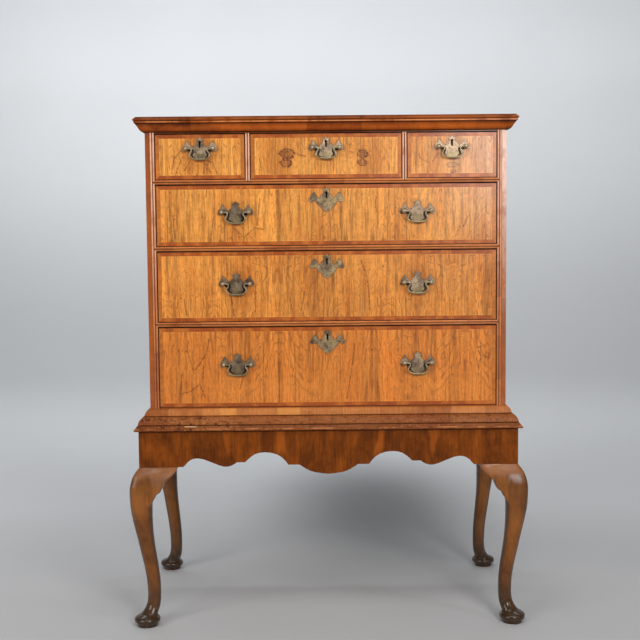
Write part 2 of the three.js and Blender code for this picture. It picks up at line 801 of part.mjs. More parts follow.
// Bail: half its route in shares of the half width and of the drop, from the pin to the grip
const bailShares = [
  [0.93, 0], [0.82, 0.06], [0.79, 0.2], [0.92, 0.4], [1, 0.6], [0.9, 0.8], [0.55, 0.95], [0, 1],
];
const gripStartShare = 0.5;
const bailSides = 6;

function bail() {
  const pinEnd = postSpacing / 2 - postHeadRadius + bailPinReach;
  const half = bailShares.map(([u, v]) => ({ x: u * bailHalfWidth, z: -v * bailDrop }));
  const route = [{ x: pinEnd, z: 0 }, ...half];
  const other = route.slice(0, -1).map(({ x, z }) => ({ x: -x, z })).reverse();
  const points = [...route, ...other];
  const rings = points.map((point, i) => {
    const before = points[Math.max(i - 1, 0)];
    const after = points[Math.min(i + 1, points.length - 1)];
    const ahead = new THREE.Vector2(after.x - before.x, after.z - before.z).normalize();
    const low = Math.max(0, (-point.z / bailDrop - gripStartShare) / (1 - gripStartShare));
    const side = point.z === 0 ? bailPinRadius : bailSideRadius;
    const radius = side + (bailGripRadius - side) * low;
    const ring = [];
    for (let k = 0; k < bailSides; k += 1) {
      const turn = (2 * Math.PI * (k + 0.5)) / bailSides;
      const across = radius * Math.cos(turn);
      ring.push(new THREE.Vector3(
        point.x - ahead.y * across, radius * Math.sin(turn) - pivotStandOff, point.z + ahead.x * across));
    }
    return ring;
  });
  return loft(rings);
}

// Case
addPiece(highboy, "case_side_left", mirrored(caseSide(), -1, 1), "side_veneer");
addPiece(highboy, "case_side_right", caseSide(), "side_veneer");
addPiece(highboy, "case_top", block(-caseWidth / 2, caseWidth / 2, caseFront, caseBack, caseTopFoot, caseHead),
  "side_veneer");
addPiece(highboy, "top_rail", block(seatGap - openingHalf, openingHalf - seatGap,
  caseFront, caseFront + railDepth, topRailFoot, topRailFoot + topRailHeight), "moulding_walnut");
addPiece(highboy, "case_bottom", caseBottom(), "carcase_oak");
const backHalf = openingHalf + backRebate - seatGap;
addPiece(highboy, "case_back", block(-backHalf, backHalf, backFace + seatGap, caseBack,
  caseFoot, caseTopFoot - seatGap), "carcase_oak");
addPiece(highboy, "cornice", mitredMoulding(
  mouldingProfile(corniceShares, corniceProjection, caseHead, corniceHeight)), "moulding_walnut");

// Rails and dividers
const dividers = { divider_left: -dividerOffset, divider_right: dividerOffset };
const upperRail = cutAway(railSolid(upperRailFoot, 0),
  Object.values(dividers).map((x) => dividerSolid(x, seatGap)));
addPiece(highboy, "rail_upper", upperRail, "moulding_walnut");
addPiece(highboy, "rail_middle", railSolid(middleRailFoot, 0), "moulding_walnut");
addPiece(highboy, "rail_lower", railSolid(lowerRailFoot, 0), "moulding_walnut");
for (const [name, x] of Object.entries(dividers)) {
  addPiece(highboy, name, dividerSolid(x, 0), "moulding_walnut");
}

// Stand
addPiece(highboy, "waist_moulding", mitredMoulding(
  mouldingProfile(waistShares, waistProjection, waistHead, waistHeight)), "moulding_walnut");
addPiece(highboy, "apron_front", apronFront(), "apron_veneer");
addPiece(highboy, "apron_left", apronSide(-1), "apron_veneer");
addPiece(highboy, "apron_right", apronSide(1), "apron_veneer");
addPiece(highboy, "stand_back_rail", backRail(), "carcase_oak");
for (const [endName, end] of [["front", -1], ["rear", 1]]) {
  for (const [sideName, side] of [["left", -1], ["right", 1]]) {
    const corner = legPlace(side, end);
    const leg = addPiece(highboy, `leg_${endName}_${sideName}`, cabrioleLeg(side, end), "leg_walnut");
    leg.position.copy(corner);
  }
}

// Drawers, with their brasses
function shortDrawer(name, x, openingHalfWidth) {
  return {
    name,
    x,
    foot: upperRailFoot + railHeight + gapBelow,
    width: 2 * (openingHalfWidth - gapBeside),
    height: shortFrontHeight,
    handles: [0],
    handleNames: [name],
    pivot: shortFrontHeight - shortPivotDrop,
    keyholeDrop: shortKeyholeDrop,
    escutcheon: false,
  };
}

function longDrawer(name, railHead, height) {
  return {
    name: `long_${name}`,
    x: 0,
    foot: railHead + gapBelow,
    width: 2 * (openingHalf - gapBeside),
    height,
    handles: [-longHandleOffset, longHandleOffset],
    handleNames: [`${name}_left`, `${name}_right`],
    pivot: height / 2 + longPivotRise,
    keyholeDrop: longKeyholeDrop,
    escutcheon: name,
  };
}

const drawers = [
  shortDrawer("short_left", -shortOffset, shortOpeningHalf),
  shortDrawer("short_centre", 0, centreOpeningHalf),
  shortDrawer("short_right", shortOffset, shortOpeningHalf),
  longDrawer("upper", middleRailFoot + railHeight, upperFrontHeight),
  longDrawer("middle", lowerRailFoot + railHeight, middleFrontHeight),
  longDrawer("lower", caseFloor, lowerFrontHeight),
];

for (const drawer of drawers) {
  const group = groupAt(highboy, drawer.x, caseFront, drawer.foot);
  addPiece(group, `drawer_front_${drawer.name}`, drawerFront(drawer), "figured_veneer");
  addPiece(group, `drawer_box_${drawer.name}`, drawerBox(drawer), "drawer_oak");
  addPiece(group, `lock_${drawer.name}`, drawerLock(drawer), "lock_iron");
  drawer.handles.forEach((x, i) => {
    const handle = groupAt(group, x, 0, drawer.pivot);
    const keyholeRise = drawer.escutcheon ? null : shortPivotDrop - shortKeyholeDrop;
    addPiece(handle, `handle_plate_${drawer.handleNames[i]}`, handlePlate(keyholeRise), "aged_brass");
    addPiece(handle, `bail_${drawer.handleNames[i]}`, bail(), "aged_brass");
  });
  if (drawer.escutcheon) {
    const plate = groupAt(group, 0, 0, drawer.height - escutcheonDrop);
    addPiece(plate, `escutcheon_${drawer.escutcheon}`,
      escutcheonPlate(escutcheonDrop - longKeyholeDrop), "aged_brass");
  }
}

export default highboy;
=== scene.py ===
"""Fine pieces and finishes of a walnut highboy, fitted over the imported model.

Lengths are in metres unless a line says otherwise. X runs from left to right, Y from
front to back and Z up from the floor.
"""

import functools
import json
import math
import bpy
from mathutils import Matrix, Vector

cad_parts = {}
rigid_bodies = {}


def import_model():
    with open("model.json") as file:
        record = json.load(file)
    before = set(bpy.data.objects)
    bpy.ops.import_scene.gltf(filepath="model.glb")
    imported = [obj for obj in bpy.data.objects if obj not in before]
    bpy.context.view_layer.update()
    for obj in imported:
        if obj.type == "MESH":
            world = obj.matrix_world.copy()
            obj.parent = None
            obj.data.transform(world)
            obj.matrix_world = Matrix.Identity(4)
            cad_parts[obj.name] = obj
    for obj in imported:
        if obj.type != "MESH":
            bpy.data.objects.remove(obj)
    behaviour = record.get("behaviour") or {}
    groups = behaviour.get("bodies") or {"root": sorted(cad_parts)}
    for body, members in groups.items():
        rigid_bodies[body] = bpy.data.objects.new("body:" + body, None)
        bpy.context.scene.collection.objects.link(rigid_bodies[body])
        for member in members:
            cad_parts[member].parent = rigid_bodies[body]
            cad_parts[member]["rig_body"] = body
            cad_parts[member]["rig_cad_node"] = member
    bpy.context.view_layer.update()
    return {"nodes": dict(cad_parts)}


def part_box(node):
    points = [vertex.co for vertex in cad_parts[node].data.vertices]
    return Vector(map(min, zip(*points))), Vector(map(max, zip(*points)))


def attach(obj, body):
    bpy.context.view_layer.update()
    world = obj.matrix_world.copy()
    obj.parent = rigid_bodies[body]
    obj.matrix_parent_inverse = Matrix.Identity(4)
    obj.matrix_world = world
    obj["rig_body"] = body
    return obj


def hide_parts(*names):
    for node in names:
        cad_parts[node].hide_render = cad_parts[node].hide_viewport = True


bl_info = {
    "name": "Walnut highboy",
    "version": (1, 0, 0),
    "blender": (4, 5, 0),
    "location": "3D View > Sidebar > Highboy",
    "description": "Models the turned, carved and veneered pieces of a chest of drawers on a stand",
    "category": "Object",
}

import bmesh
import bpy
from mathutils import Matrix, Vector

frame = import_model()

MM = 0.001

# Places on the case and the stand
CASE_HALF = 477 * MM
CASE_FRONT = -227.5 * MM
CASE_BACK = 256.5 * MM
CASE_HEAD = 1361.0 * MM
CORNICE_FOOT = 1322.0 * MM
WAIST_HEAD = 588.3 * MM
WAIST_FOOT = 531.3 * MM
STAND_HALF = 506 * MM
STAND_BACK = 256.5 * MM
STAND_TOP = 531 * MM
KNEE_TOP = 434.7 * MM
FOOT_IN = 12 * MM
SEAT_GAP = 0.3 * MM

# Mouldings: shares of the projection and of the height, from the top edge down
CORNICE_PROJECTION = 28 * MM
CORNICE_SHARES = (
    (0.71, 0), (1, 0.18), (0.97, 0.26), (0.89, 0.29), (0.89, 0.41), (0.8, 0.455),
    (0.68, 0.57), (0.56, 0.69), (0.45, 0.83), (0.3, 0.94), (0.12, 1),
)
CORNICE_CORNERS = (0, 1, 2, 3, 4, 10)
WAIST_PROJECTION = 40 * MM
WAIST_SHARES = (
    (0.06, 0), (0.15, 0.03), (0.24, 0.1), (0.31, 0.19), (0.35, 0.3), (0.35, 0.34),
    (0.41, 0.35), (0.5, 0.38), (0.63, 0.47), (0.72, 0.58), (0.75, 0.67), (0.75, 0.73),
    (0.83, 0.76), (0.88, 0.81), (0.94, 0.86), (1, 0.9), (1, 0.95), (0.93, 0.98), (0.8, 1),
)
WAIST_CORNERS = (0, 4, 5, 6, 10, 11, 12, 18)

# Cabriole leg: height share, reach outward and inward in shares of the pad's radius, squareness
PAD_RADIUS = 35 * MM
FOOT_HEIGHT = 36 * MM
FOOT_SHARES = (
    (0, 0.77, 0.77, 2), (0.2, 0.79, 0.79, 2), (0.32, 0.96, 0.96, 2), (0.44, 1, 1, 2),
    (0.58, 0.98, 0.98, 2), (0.7, 0.88, 0.87, 2), (0.81, 0.66, 0.78, 2), (0.9, 0.47, 0.79, 2),
    (1, 0.385, 0.825, 2),
)
SHANK_HEIGHT = 399 * MM
SHANK_SHARES = (
    (0.035, 0.141, 0.943, 2), (0.08, 0.028, 1, 2), (0.135, 0.01, 1.014, 2),
    (0.21, 0.06, 0.995, 2), (0.305, 0.203, 0.9, 2.05), (0.4, 0.4, 0.77, 2.1),
    (0.5, 0.604, 0.65, 2.2), (0.605, 0.84, 0.585, 2.35), (0.71, 1.037, 0.585, 2.6),
    (0.8, 1.108, 0.61, 3), (0.86, 1.08, 0.63, 3.5), (0.9, 0.99, 0.73, 4),
    (0.935, 0.858, 0.83, 4.6), (0.965, 0.67, 0.94, 5.5),
)
KNEE_REACH = 38.3 * MM
POST_SIDE = 46 * MM
APRON_FACING = 4.3 * MM

# Knee bracket: reach and drop shares of its lower edge, and the knee's swell below the apron
BRACKET_REACH = 101 * MM
BRACKET_DROP = 88 * MM
BRACKET_THICKNESS = 26 * MM
BRACKET_SHARES = (
    (1, 0.05), (0.95, 0.16), (0.84, 0.29), (0.66, 0.48), (0.61, 0.62), (0.56, 0.74),
    (0.455, 0.81), (0.37, 1), (0.28, 1.14),
)
SWELL_SHARES = (
    (0, 0), (0.17, 0.35), (0.35, 0.565), (0.51, 0.675), (0.67, 0.745), (0.9, 0.765), (1.2, 0.73),
)
CUT_AWAY = 8 * MM

# Brass outlines: half of each, in shares of the half width and half height, from the crown down.
# Sizes: half width, half height and thickness
BATWING_SIZES = (46 * MM, 28.5 * MM, 1.8 * MM)
BATWING_SHARES = (
    (0, 1), (0.09, 0.86), (0.235, 0.82), (0.15, 0.66), (0.19, 0.48), (0.3, 0.34), (0.34, 0.2),
    (0.42, 0.15), (0.51, 0.25), (0.62, 0.42), (0.765, 0.73), (0.83, 0.46), (0.925, 0.3),
    (0.995, 0.1), (1, -0.07), (0.95, -0.21), (0.85, -0.22), (0.74, -0.13), (0.63, -0.22),
    (0.57, -0.5), (0.44, -0.74), (0.24, -0.93), (0, -1),
)
BATWING_CUSPS = (1, 2, 10, 17)
ESCUTCHEON_SIZES = (46.5 * MM, 32.6 * MM, 1.5 * MM)
ESCUTCHEON_SHARES = (
    (0, 1), (0.1, 0.88), (0.24, 0.87), (0.16, 0.66), (0.26, 0.42), (0.33, 0.35), (0.37, 0.17),
    (0.47, 0.13), (0.54, 0.29), (0.61, 0.46), (0.69, 0.66), (0.78, 0.55), (0.87, 0.35), (0.96, 0.14),
    (1, -0.03), (0.9, -0.14), (0.75, -0.06), (0.62, -0.1), (0.54, -0.25), (0.41, -0.46),
    (0.27, -0.64), (0.25, -0.8), (0.1, -0.84), (0, -1),
)
ESCUTCHEON_CUSPS = (1, 2, 5, 6, 10, 16, 20, 21, 22, 23)

# Keyholes: radius of the round part, half width of the slot, height, and how far the round part's
# middle stands above the pivot of a short drawer's handle or the middle of an escutcheon
KEYHOLE_RADIUS = 3.5 * MM
KEYHOLE_SLOT = 2.3 * MM
KEYHOLE_HEIGHT = 17.6 * MM
HANDLE_KEYHOLE_RISE = 16.3 * MM
ESCUTCHEON_KEYHOLE_RISE = 19.2 * MM

# The darkness behind a keyhole is painted shade on the wood seen through it
# The darkness behind a keyhole: how far it reaches sideways and upwards from its middle, and how
# far its middle lies below the head of the drawer front
KEYHOLE_DARK_SIDE = 5 * MM
KEYHOLE_DARK_RISE = 11 * MM
KEYHOLE_DOWN = 26 * MM

# Bolt post: radius and distance in front of the drawer, in millimetres, up to its ball head
POST_PROFILE = (
    (0, -24.3), (2.3, -24.3), (2.5, -24.0), (2.5, 1.2), (5.6, 1.2), (6, 1.7), (6, 2.3), (5.2, 3),
    (4.2, 3.5), (3.5, 4.4), (3.2, 5.6), (3.3, 7), (3.9, 7.6), (4.1, 8.2), (3.7, 8.8), (3.2, 9.3),
)
BALL_RADIUS = 6 * MM
PIN_RADIUS = 2.1 * MM
PIN_HOLE_END = 36.3 * MM

# Bail: how far its pivots stand to each side and in front of the drawer, and its grip's shape
PIVOT_SIDE = 36 * MM
PIVOT_AHEAD = 15 * MM
BAIL_HALF = 26.4 * MM
BAIL_DROP = 28.8 * MM
BAIL_SHARES = ((0.93, 0), (0.82, 0.06), (0.79, 0.2), (0.92, 0.4), (1, 0.6), (0.9, 0.8), (0.55, 0.95), (0, 1))

# Where the bail's shadow is painted on a plate beside it, across and up from the pivot, in millimetres
BAIL_SHADOW_PLACES = ((34, -7), (27, -5), (19, -4), (18, -9), (21, -15), (20, -21), (15, -25))

# Handles: the drawer that each rides on, and the pivot's place across and up, in millimetres
HANDLES = {
    "short_left": ("drawer_short_left", -332.6, 1278.9),
    "short_centre": ("drawer_short_centre", 0.0, 1278.9),
    "short_right": ("drawer_short_right", 332.6, 1278.9),
    "upper_left": ("drawer_long_upper", -241.0, 1110.7),
    "upper_right": ("drawer_long_upper", 241.0, 1110.7),
    "middle_left": ("drawer_long_middle", -241.0, 922.0),
    "middle_right": ("drawer_long_middle", 241.0, 922.0),
    "lower_left": ("drawer_long_lower", -241.0, 706.3),
    "lower_right": ("drawer_long_lower", 241.0, 706.3),
}

# Escutcheons: the drawer that each rides on and the height of its middle, in millimetres
ESCUTCHEONS = {
    "upper": ("drawer_long_upper", 1141.5),
    "middle": ("drawer_long_middle", 965.8),
    "lower": ("drawer_long_lower", 764.1),
}

# Veneer of each drawer front. Places across and up are in millimetres on the front.
# seam: where two mirrored leaves meet; leaf: width of a leaf; warm: 0 golden to 1 orange
# light: brightness of the darkest leaf; seed: sets one sheet's figure apart from the others
# knots: place, radius and darkness; strands: dark grain lines from one place to another
# eyes: places that the figure's lines close round, with their reach across and up and strength
# burrs: ragged dark rings, with their reach across and up and darkness
# strips: upright strips of lighter or darker wood, with place across, half width and change
VENEER = {
    "short_left": {
        "seam": -338.0, "leaf": 190.0, "warm": 0.1, "light": 0.88, "seed": 3.1,
        "knots": ((-353, 1240, 2.6, 0.8), (-321, 1241, 2.4, 0.7), (-342, 1211, 3.0, 0.7)),
        "eyes": ((-342, 1222, 34, 46, 0.3), (-300, 1232, 22, 40, 0.2)),
        "burrs": (),
        "strips": ((-446, 5, 0.16), (-243, 7, 0.12), (-420, 4, -0.05)),
        "strands": (
            (-383, 1273, -400, 1255), (-400, 1255, -408, 1215), (-378, 1258, -389, 1236),
            (-389, 1236, -395, 1216), (-359, 1247, -375, 1222), (-311, 1247, -300, 1243),
            (-300, 1243, -288, 1215), (-306, 1262, -311, 1247), (-321, 1238, -324, 1214),
            (-310, 1246, -318, 1220), (-318, 1238, -306, 1216),
        ),
    },
    "short_centre": {
        "seam": -5.0, "leaf": 260.0, "warm": 0.14, "light": 0.88, "seed": 8.4,
        "knots": ((47, 1257, 1.7, 0.7), (164, 1254, 1.5, 0.7), (-54, 1257, 1.9, 0.6), (127, 1258, 1.3, 0.4)),
        "eyes": ((-112, 1250, 82, 78, 0.5), (98, 1250, 54, 62, 0.28)),
        "burrs": ((-102, 1264, 21, 14, 0.95), (-106, 1239, 16, 11, 0.95), (-103, 1262, 8, 9, 0.7),
                  (96, 1262, 16, 13, 0.85), (95, 1240, 13, 10, 0.85), (95, 1262, 7, 6, 0.6)),
        "strips": ((-181, 6, 0.14), (183, 7, 0.14), (0, 40, 0.04)),
        "strands": ((-78, 1262, -54, 1257), (-130, 1264, -120, 1266), (-175, 1252, -171, 1222)),
    },
    "short_right": {
        "seam": 345.0, "leaf": 200.0, "warm": 0.12, "light": 0.88, "seed": 12.7,
        "knots": ((333, 1210, 3.8, 0.85), (369, 1256, 2.2, 0.55)),
        "eyes": ((335, 1226, 40, 46, 0.3), (250, 1262, 26, 40, 0.22)),
        "burrs": ((333, 1231, 17, 9, 0.5), (336, 1215, 9, 5, 0.7)),
        "strips": ((245, 5, 0.08), (440, 8, 0.06)),
        "strands": ((246, 1264, 249, 1249), (249, 1249, 272, 1238), (296, 1262, 280, 1240)),
    },
    "long_upper": {
        "seam": -130.0, "leaf": 216.0, "warm": 0.2, "light": 0.93, "seed": 17.9,
        "knots": ((364, 1070, 3.0, 0.7), (232, 1044, 1.8, 0.85), (241, 1040, 1.6, 0.8),
                  (-413, 1164, 2.2, 0.5), (-404, 1094, 2.4, 0.5)),
        "eyes": ((-237, 1157, 24, 26, 0.24), (-361, 1152, 26, 26, 0.22), (-362, 1120, 20, 18, 0.13),
                 (-362, 1090, 20, 22, 0.13), (-72, 1104, 68, 64, 0.5), (-78, 1040, 52, 18, 0.3),
                 (104, 1128, 60, 70, 0.4), (363, 1080, 34, 48, 0.25), (-413, 1163, 20, 26, 0.16)),
        "burrs": (),
        "strips": ((-431, 7, 0.12), (-413, 4, -0.2), (-400, 5, -0.14), (-331, 6, -0.06), (-288, 6, 0.1),
                   (-272, 3, -0.12), (-174, 10, 0.06), (-142, 9, 0.24), (-127, 6, -0.22), (40, 4, -0.14),
                   (52, 6, 0.06), (146, 8, 0.16), (186, 8, -0.08), (303, 8, 0.18), (316, 3, -0.12),
                   (400, 5, -0.06)),
        "strands": (
            (-246, 1072, -219, 1044), (-219, 1044, -191, 1070), (-191, 1070, -168, 1066),
            (-407, 1104, -403, 1044), (-237, 1064, -232, 1042), (133, 1150, 129, 1120),
            (-300, 1100, -306, 1052), (-177, 1146, -184, 1076), (364, 1068, 378, 1100),
            (356, 1076, 344, 1044),
        ),
    },
    "long_middle": {
        "seam": 100.0, "leaf": 232.0, "warm": 0.4, "light": 0.93, "seed": 23.2,
        "knots": ((149, 965, 2.6, 0.8), (-390, 884, 1.8, 0.9), (-249, 838, 3.0, 0.5), (249, 878, 2.2, 0.5),
                  (440, 832, 3.4, 0.4), (390, 980, 1.6, 0.6), (227, 986, 1.4, 0.6), (229, 976, 1.4, 0.6)),
        "eyes": ((-373, 930, 26, 60, 0.24), (107, 940, 40, 64, 0.34), (62, 868, 24, 34, 0.3),
                 (-98, 872, 20, 40, 0.2), (340, 916, 40, 60, 0.26), (-222, 872, 30, 34, 0.2)),
        "burrs": (),
        "strips": ((-436, 8, 0.14), (-400, 6, -0.06), (-288, 8, 0.12), (-250, 10, -0.08), (-146, 12, 0.1),
                   (-44, 5, 0.06), (-30, 9, -0.12), (10, 14, -0.1), (40, 8, 0.08), (100, 8, -0.12),
                   (146, 9, 0.1), (200, 6, 0.05), (386, 5, -0.08), (403, 8, 0.1), (430, 12, -0.14)),
        "strands": (
            (-266, 976, -264, 940), (-190, 915, -192, 846), (-381, 880, -374, 839), (-101, 884, -94, 846),
            (107, 937, 114, 850), (90, 982, 107, 937), (-60, 900, -70, 850), (-258, 900, -249, 840),
        ),
    },
    "long_lower": {
        "seam": -130.0, "leaf": 249.0, "warm": 0.72, "light": 0.93, "seed": 31.5,
        "knots": ((198, 656, 2.2, 0.9), (215, 613, 11.0, 0.4), (-399, 745, 4.0, 0.45), (-181, 751, 2.4, 0.6),
                  (-178, 664, 1.8, 0.8), (-275, 629, 1.8, 0.7), (17, 666, 1.6, 0.7),
                  (29, 712, 1.6, 0.7), (202, 755, 2.0, 0.6), (189, 742, 5.0, 0.3), (405, 708, 1.6, 0.6)),
        "eyes": ((-336, 752, 30, 36, 0.26), (-352, 660, 44, 60, 0.3), (72, 756, 24, 50, 0.3),
                 (-250, 640, 40, 50, 0.24), (360, 760, 26, 24, 0.16)),
        "burrs": (),
        "strips": ((-430, 7, 0.14), (-400, 7, -0.05), (-290, 8, 0.08), (-215, 12, -0.07), (-150, 16, 0.08),
                   (-131, 2.5, -0.3), (-124, 3, -0.18), (-102, 14, 0.14), (-20, 10, -0.1), (60, 26, 0.05),
                   (117, 5, -0.2), (130, 5, -0.26), (160, 22, 0.16), (232, 10, -0.1), (297, 8, 0.12),
                   (345, 10, -0.1), (402, 12, 0.14), (437, 9, -0.16)),
        "strands": (
            (-316, 775, -324, 737), (-324, 737, -347, 703), (-347, 703, -355, 692), (-376, 745, -359, 688),
            (-372, 770, -376, 745), (-332, 703, -334, 669), (-344, 654, -367, 635), (-367, 635, -397, 626),
            (-344, 654, -331, 620), (-389, 681, -397, 628), (72, 756, 64, 690), (64, 690, 51, 612),
            (404, 736, 410, 722), (412, 736, 418, 724), (418, 724, 428, 720), (410, 716, 404, 692),
            (435, 740, 432, 716), (400, 746, 414, 748), (-222, 690, -236, 640),
        ),
    },
}

# Lighter tongues in the apron's veneer: place across at the top and at the foot, half width at
# the top and at the foot, and length, in millimetres, then strength
TONGUES = (
    (-269, -268, 13, 2, 80, 0.45), (-131, -124, 10, 17, 74, 0.65), (4, 3, 8, 3, 34, 0.4),
    (144, 126, 7, 14, 78, 0.6), (280, 276, 15, 3, 86, 0.55), (484, 482, 24, 22, 96, 0.15),
    (-410, -402, 16, 6, 70, 0.25), (400, 392, 9, 4, 60, 0.25), (-486, -486, 14, 18, 96, 0.15),
)
SIDE_TONGUES = ((-120, -112, 9, 15, 80, 0.6), (60, 56, 12, 5, 70, 0.6))

# Painted shade in the hollows of the mouldings: depth below the head and half width in millimetres, then
# strength
CORNICE_HOLLOWS = ((10.8, 1.5, 0.8), (17.6, 2.0, 0.9), (38.8, 2.4, 0.95))
WAIST_HOLLOWS = ((18.6, 1.6, 0.85), (40.8, 2.2, 0.85), (56.6, 2.4, 0.9))

# Joints: lengths of the crossband, places across of the back's joints, and the boxes' dovetails
CROSSBAND_LENGTH = 0.085
BACK_JOINTS = (-0.29, -0.1, 0.085, 0.265)
DOVETAIL_PITCH = 38 * MM
DOVETAIL_DEPTH = 14 * MM

# Lights: place, aim, width, height, power and colour
LIGHTS = {
    "key": ((1.2, -3.2, 1.75), (0.1, 0, 0.9), 1.0, 1.0, 41, (1.0, 0.97, 0.95)),
    "fill": ((-2.4, -2.7, 1.8), (0, 0, 0.8), 1.6, 1.8, 37, (1.0, 0.98, 0.96)),
    "overhead": ((0.15, -1.75, 3.1), (0, -0.2, 0.4), 2.2, 1.0, 26, (1.0, 0.99, 0.97)),
    "strip_left": ((-2.5, -1.7, 1.5), (-0.3, -0.2, 0.5), 0.3, 1.5, 6, (0.95, 0.98, 1.0)),
    "strip_right": ((2.5, -1.7, 1.5), (0.3, -0.2, 0.5), 0.3, 1.5, 8, (0.98, 0.98, 1.0)),
    "wash_left": ((-1.4, 2.1, 4.3), (-1.2, 4.2, 2.2), 2.8, 1.1, 58, (0.9, 0.96, 1.0)),
    "wash_right": ((1.5, 2.1, 4.3), (1.4, 4.2, 2.3), 2.5, 1.1, 52, (0.9, 0.96, 1.0)),
}

# Camera: place, tilt, pan and roll in radians, focal length and film width in millimetres,
# and how far the picture is moved up in shares of its width
CAMERA_PLACE = (-0.03376, -3.0032, 1.04709)
TILT, PAN, ROLL = 0.07522, -0.00507, -0.00909
FOCAL_LENGTH = 58.67
FILM_WIDTH = 36
PICTURE_SHARE = (314.45 - 320) / 640


def tone(red, green, blue):
    """Linear colour of a screen colour given in parts of 255."""
    shares = (part / 255 for part in (red, green, blue))
    return tuple(s / 12.92 if s <= 0.04045 else ((s + 0.055) / 1.055) ** 2.4 for s in shares)


# Working with pieces
def deselect():
    """Leaves edit mode and clears the selection."""
    if bpy.context.object and bpy.context.object.mode != "OBJECT":
        bpy.ops.object.mode_set(mode="OBJECT")
    bpy.ops.object.select_all(action="DESELECT")


def pick(*pieces):
    """Selects only the given pieces, with the first one active."""
    deselect()
    for piece in pieces:
        piece.select_set(True)
    bpy.context.view_layer.objects.active = pieces[0]


def opened(piece):
    """Opens a piece in edit mode with all of it selected."""
    pick(piece)
    bpy.ops.object.mode_set(mode="EDIT")
    bpy.ops.mesh.select_all(action="SELECT")


def shaped_by(piece, kind, **settings):
    """Adds a modifier, sets it and applies it."""
    pick(piece)
    modifier = piece.modifiers.new(kind.title(), kind)
    for name, value in settings.items():
        setattr(modifier, name, value)
    bpy.ops.object.modifier_apply(modifier=modifier.name)


def seated(piece, place=None):
    """Moves a piece's turn, size and place, or the place given, into its mesh."""
    if place is not None:
        piece.location = place
    pick(piece)
    bpy.ops.object.transform_apply(location=True, rotation=True, scale=True)


def faced_outward(piece):
    """Merges doubled points and turns every face outward."""
    opened(piece)
    bpy.ops.mesh.remove_doubles(threshold=0.01 * MM)
    bpy.ops.mesh.normals_make_consistent(inside=False)
    bpy.ops.object.mode_set(mode="OBJECT")


def joined(name, *pieces):
    """Joins pieces into one object."""
    pick(*pieces)
    bpy.ops.object.join()
    pieces[0].name = name
    return pieces[0]


def completed(piece, name, body, finish, nodes, angle, flat=True):
    """Names a finished piece, smooths it and fits it to its body, finish and nodes.

    A piece with flat faces is shaded so that they look flat right up to their softened edges.
    """
    piece.name = name
    pick(piece)
    bpy.ops.object.shade_smooth_by_angle(angle=math.radians(angle))
    if flat:
        shaped_by(piece, "WEIGHTED_NORMAL", mode="FACE_AREA", weight=50, keep_sharp=True)
    piece.data.materials.clear()
    piece.data.materials.append(finish)
    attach(piece, body)
    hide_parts(*nodes)


def copied(model):
    """A copy of a piece with a mesh of its own."""
    piece = model.copy()
    piece.data = model.data.copy()
    bpy.context.scene.collection.objects.link(piece)
    return piece


def loose_copy(node):
    """A free copy of a node's mesh, merged and cleared of the lines across its flat faces."""
    piece = copied(frame["nodes"][node])
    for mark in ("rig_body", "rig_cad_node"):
        if mark in piece:
            del piece[mark]
    piece.parent = None
    piece.hide_render = False
    opened(piece)
    bpy.ops.mesh.remove_doubles(threshold=0.02 * MM)
    bpy.ops.mesh.dissolve_limited(angle_limit=math.radians(0.6))
    bpy.ops.object.mode_set(mode="OBJECT")
    return piece


def softened(piece, width, angle=50):
    """Takes the sharpness off the piece's arrises."""
    shaped_by(piece, "BEVEL", width=width, segments=2, limit_method="ANGLE",
              angle_limit=math.radians(angle), use_clamp_overlap=True)


def dressed(node, name, body, finish, arris=None, angle=32, sharpness=50):
    """Fits a finish to a node's own shape, with softened edges where a width is given for them."""
    piece = loose_copy(node)
    if arris is not None:
        softened(piece, arris, sharpness)
    completed(piece, name, body, finish, (node,), angle)


def marked(piece):
    """Keeps each point's place on a handle, before the handle is moved to its drawer."""
    places = piece.data.attributes.new("brass_place", "FLOAT_VECTOR", "POINT")
    places.data.foreach_set("vector", [part for vertex in piece.data.vertices for part in vertex.co])


def drawn(name, rings):
    """A closed solid pulled on from its first ring through rings of matching points."""
    deselect()
    count = len(rings[0])
    bpy.ops.mesh.primitive_circle_add(vertices=count, radius=10 * MM, fill_type="NGON")
    piece = bpy.context.active_object
    piece.name = name
    bpy.ops.object.mode_set(mode="EDIT")
    bpy.ops.mesh.select_all(action="SELECT")
    ring = list(range(count))
    for step, points in enumerate(rings):
        if step > 0:
            bpy.ops.mesh.extrude_region_move(TRANSFORM_OT_translate={"value": (0, 0, MM)})
        mesh = bmesh.from_edit_mesh(piece.data)
        mesh.verts.ensure_lookup_table()
        if step > 0:
            ring = [next(edge.other_vert(mesh.verts[i]).index for edge in mesh.verts[i].link_edges
                         if edge.other_vert(mesh.verts[i]).select) for i in ring]
        for i, point in zip(ring, points):
            mesh.verts[i].co = point
        bmesh.update_edit_mesh(piece.data)
    faced_outward(piece)
    return piece


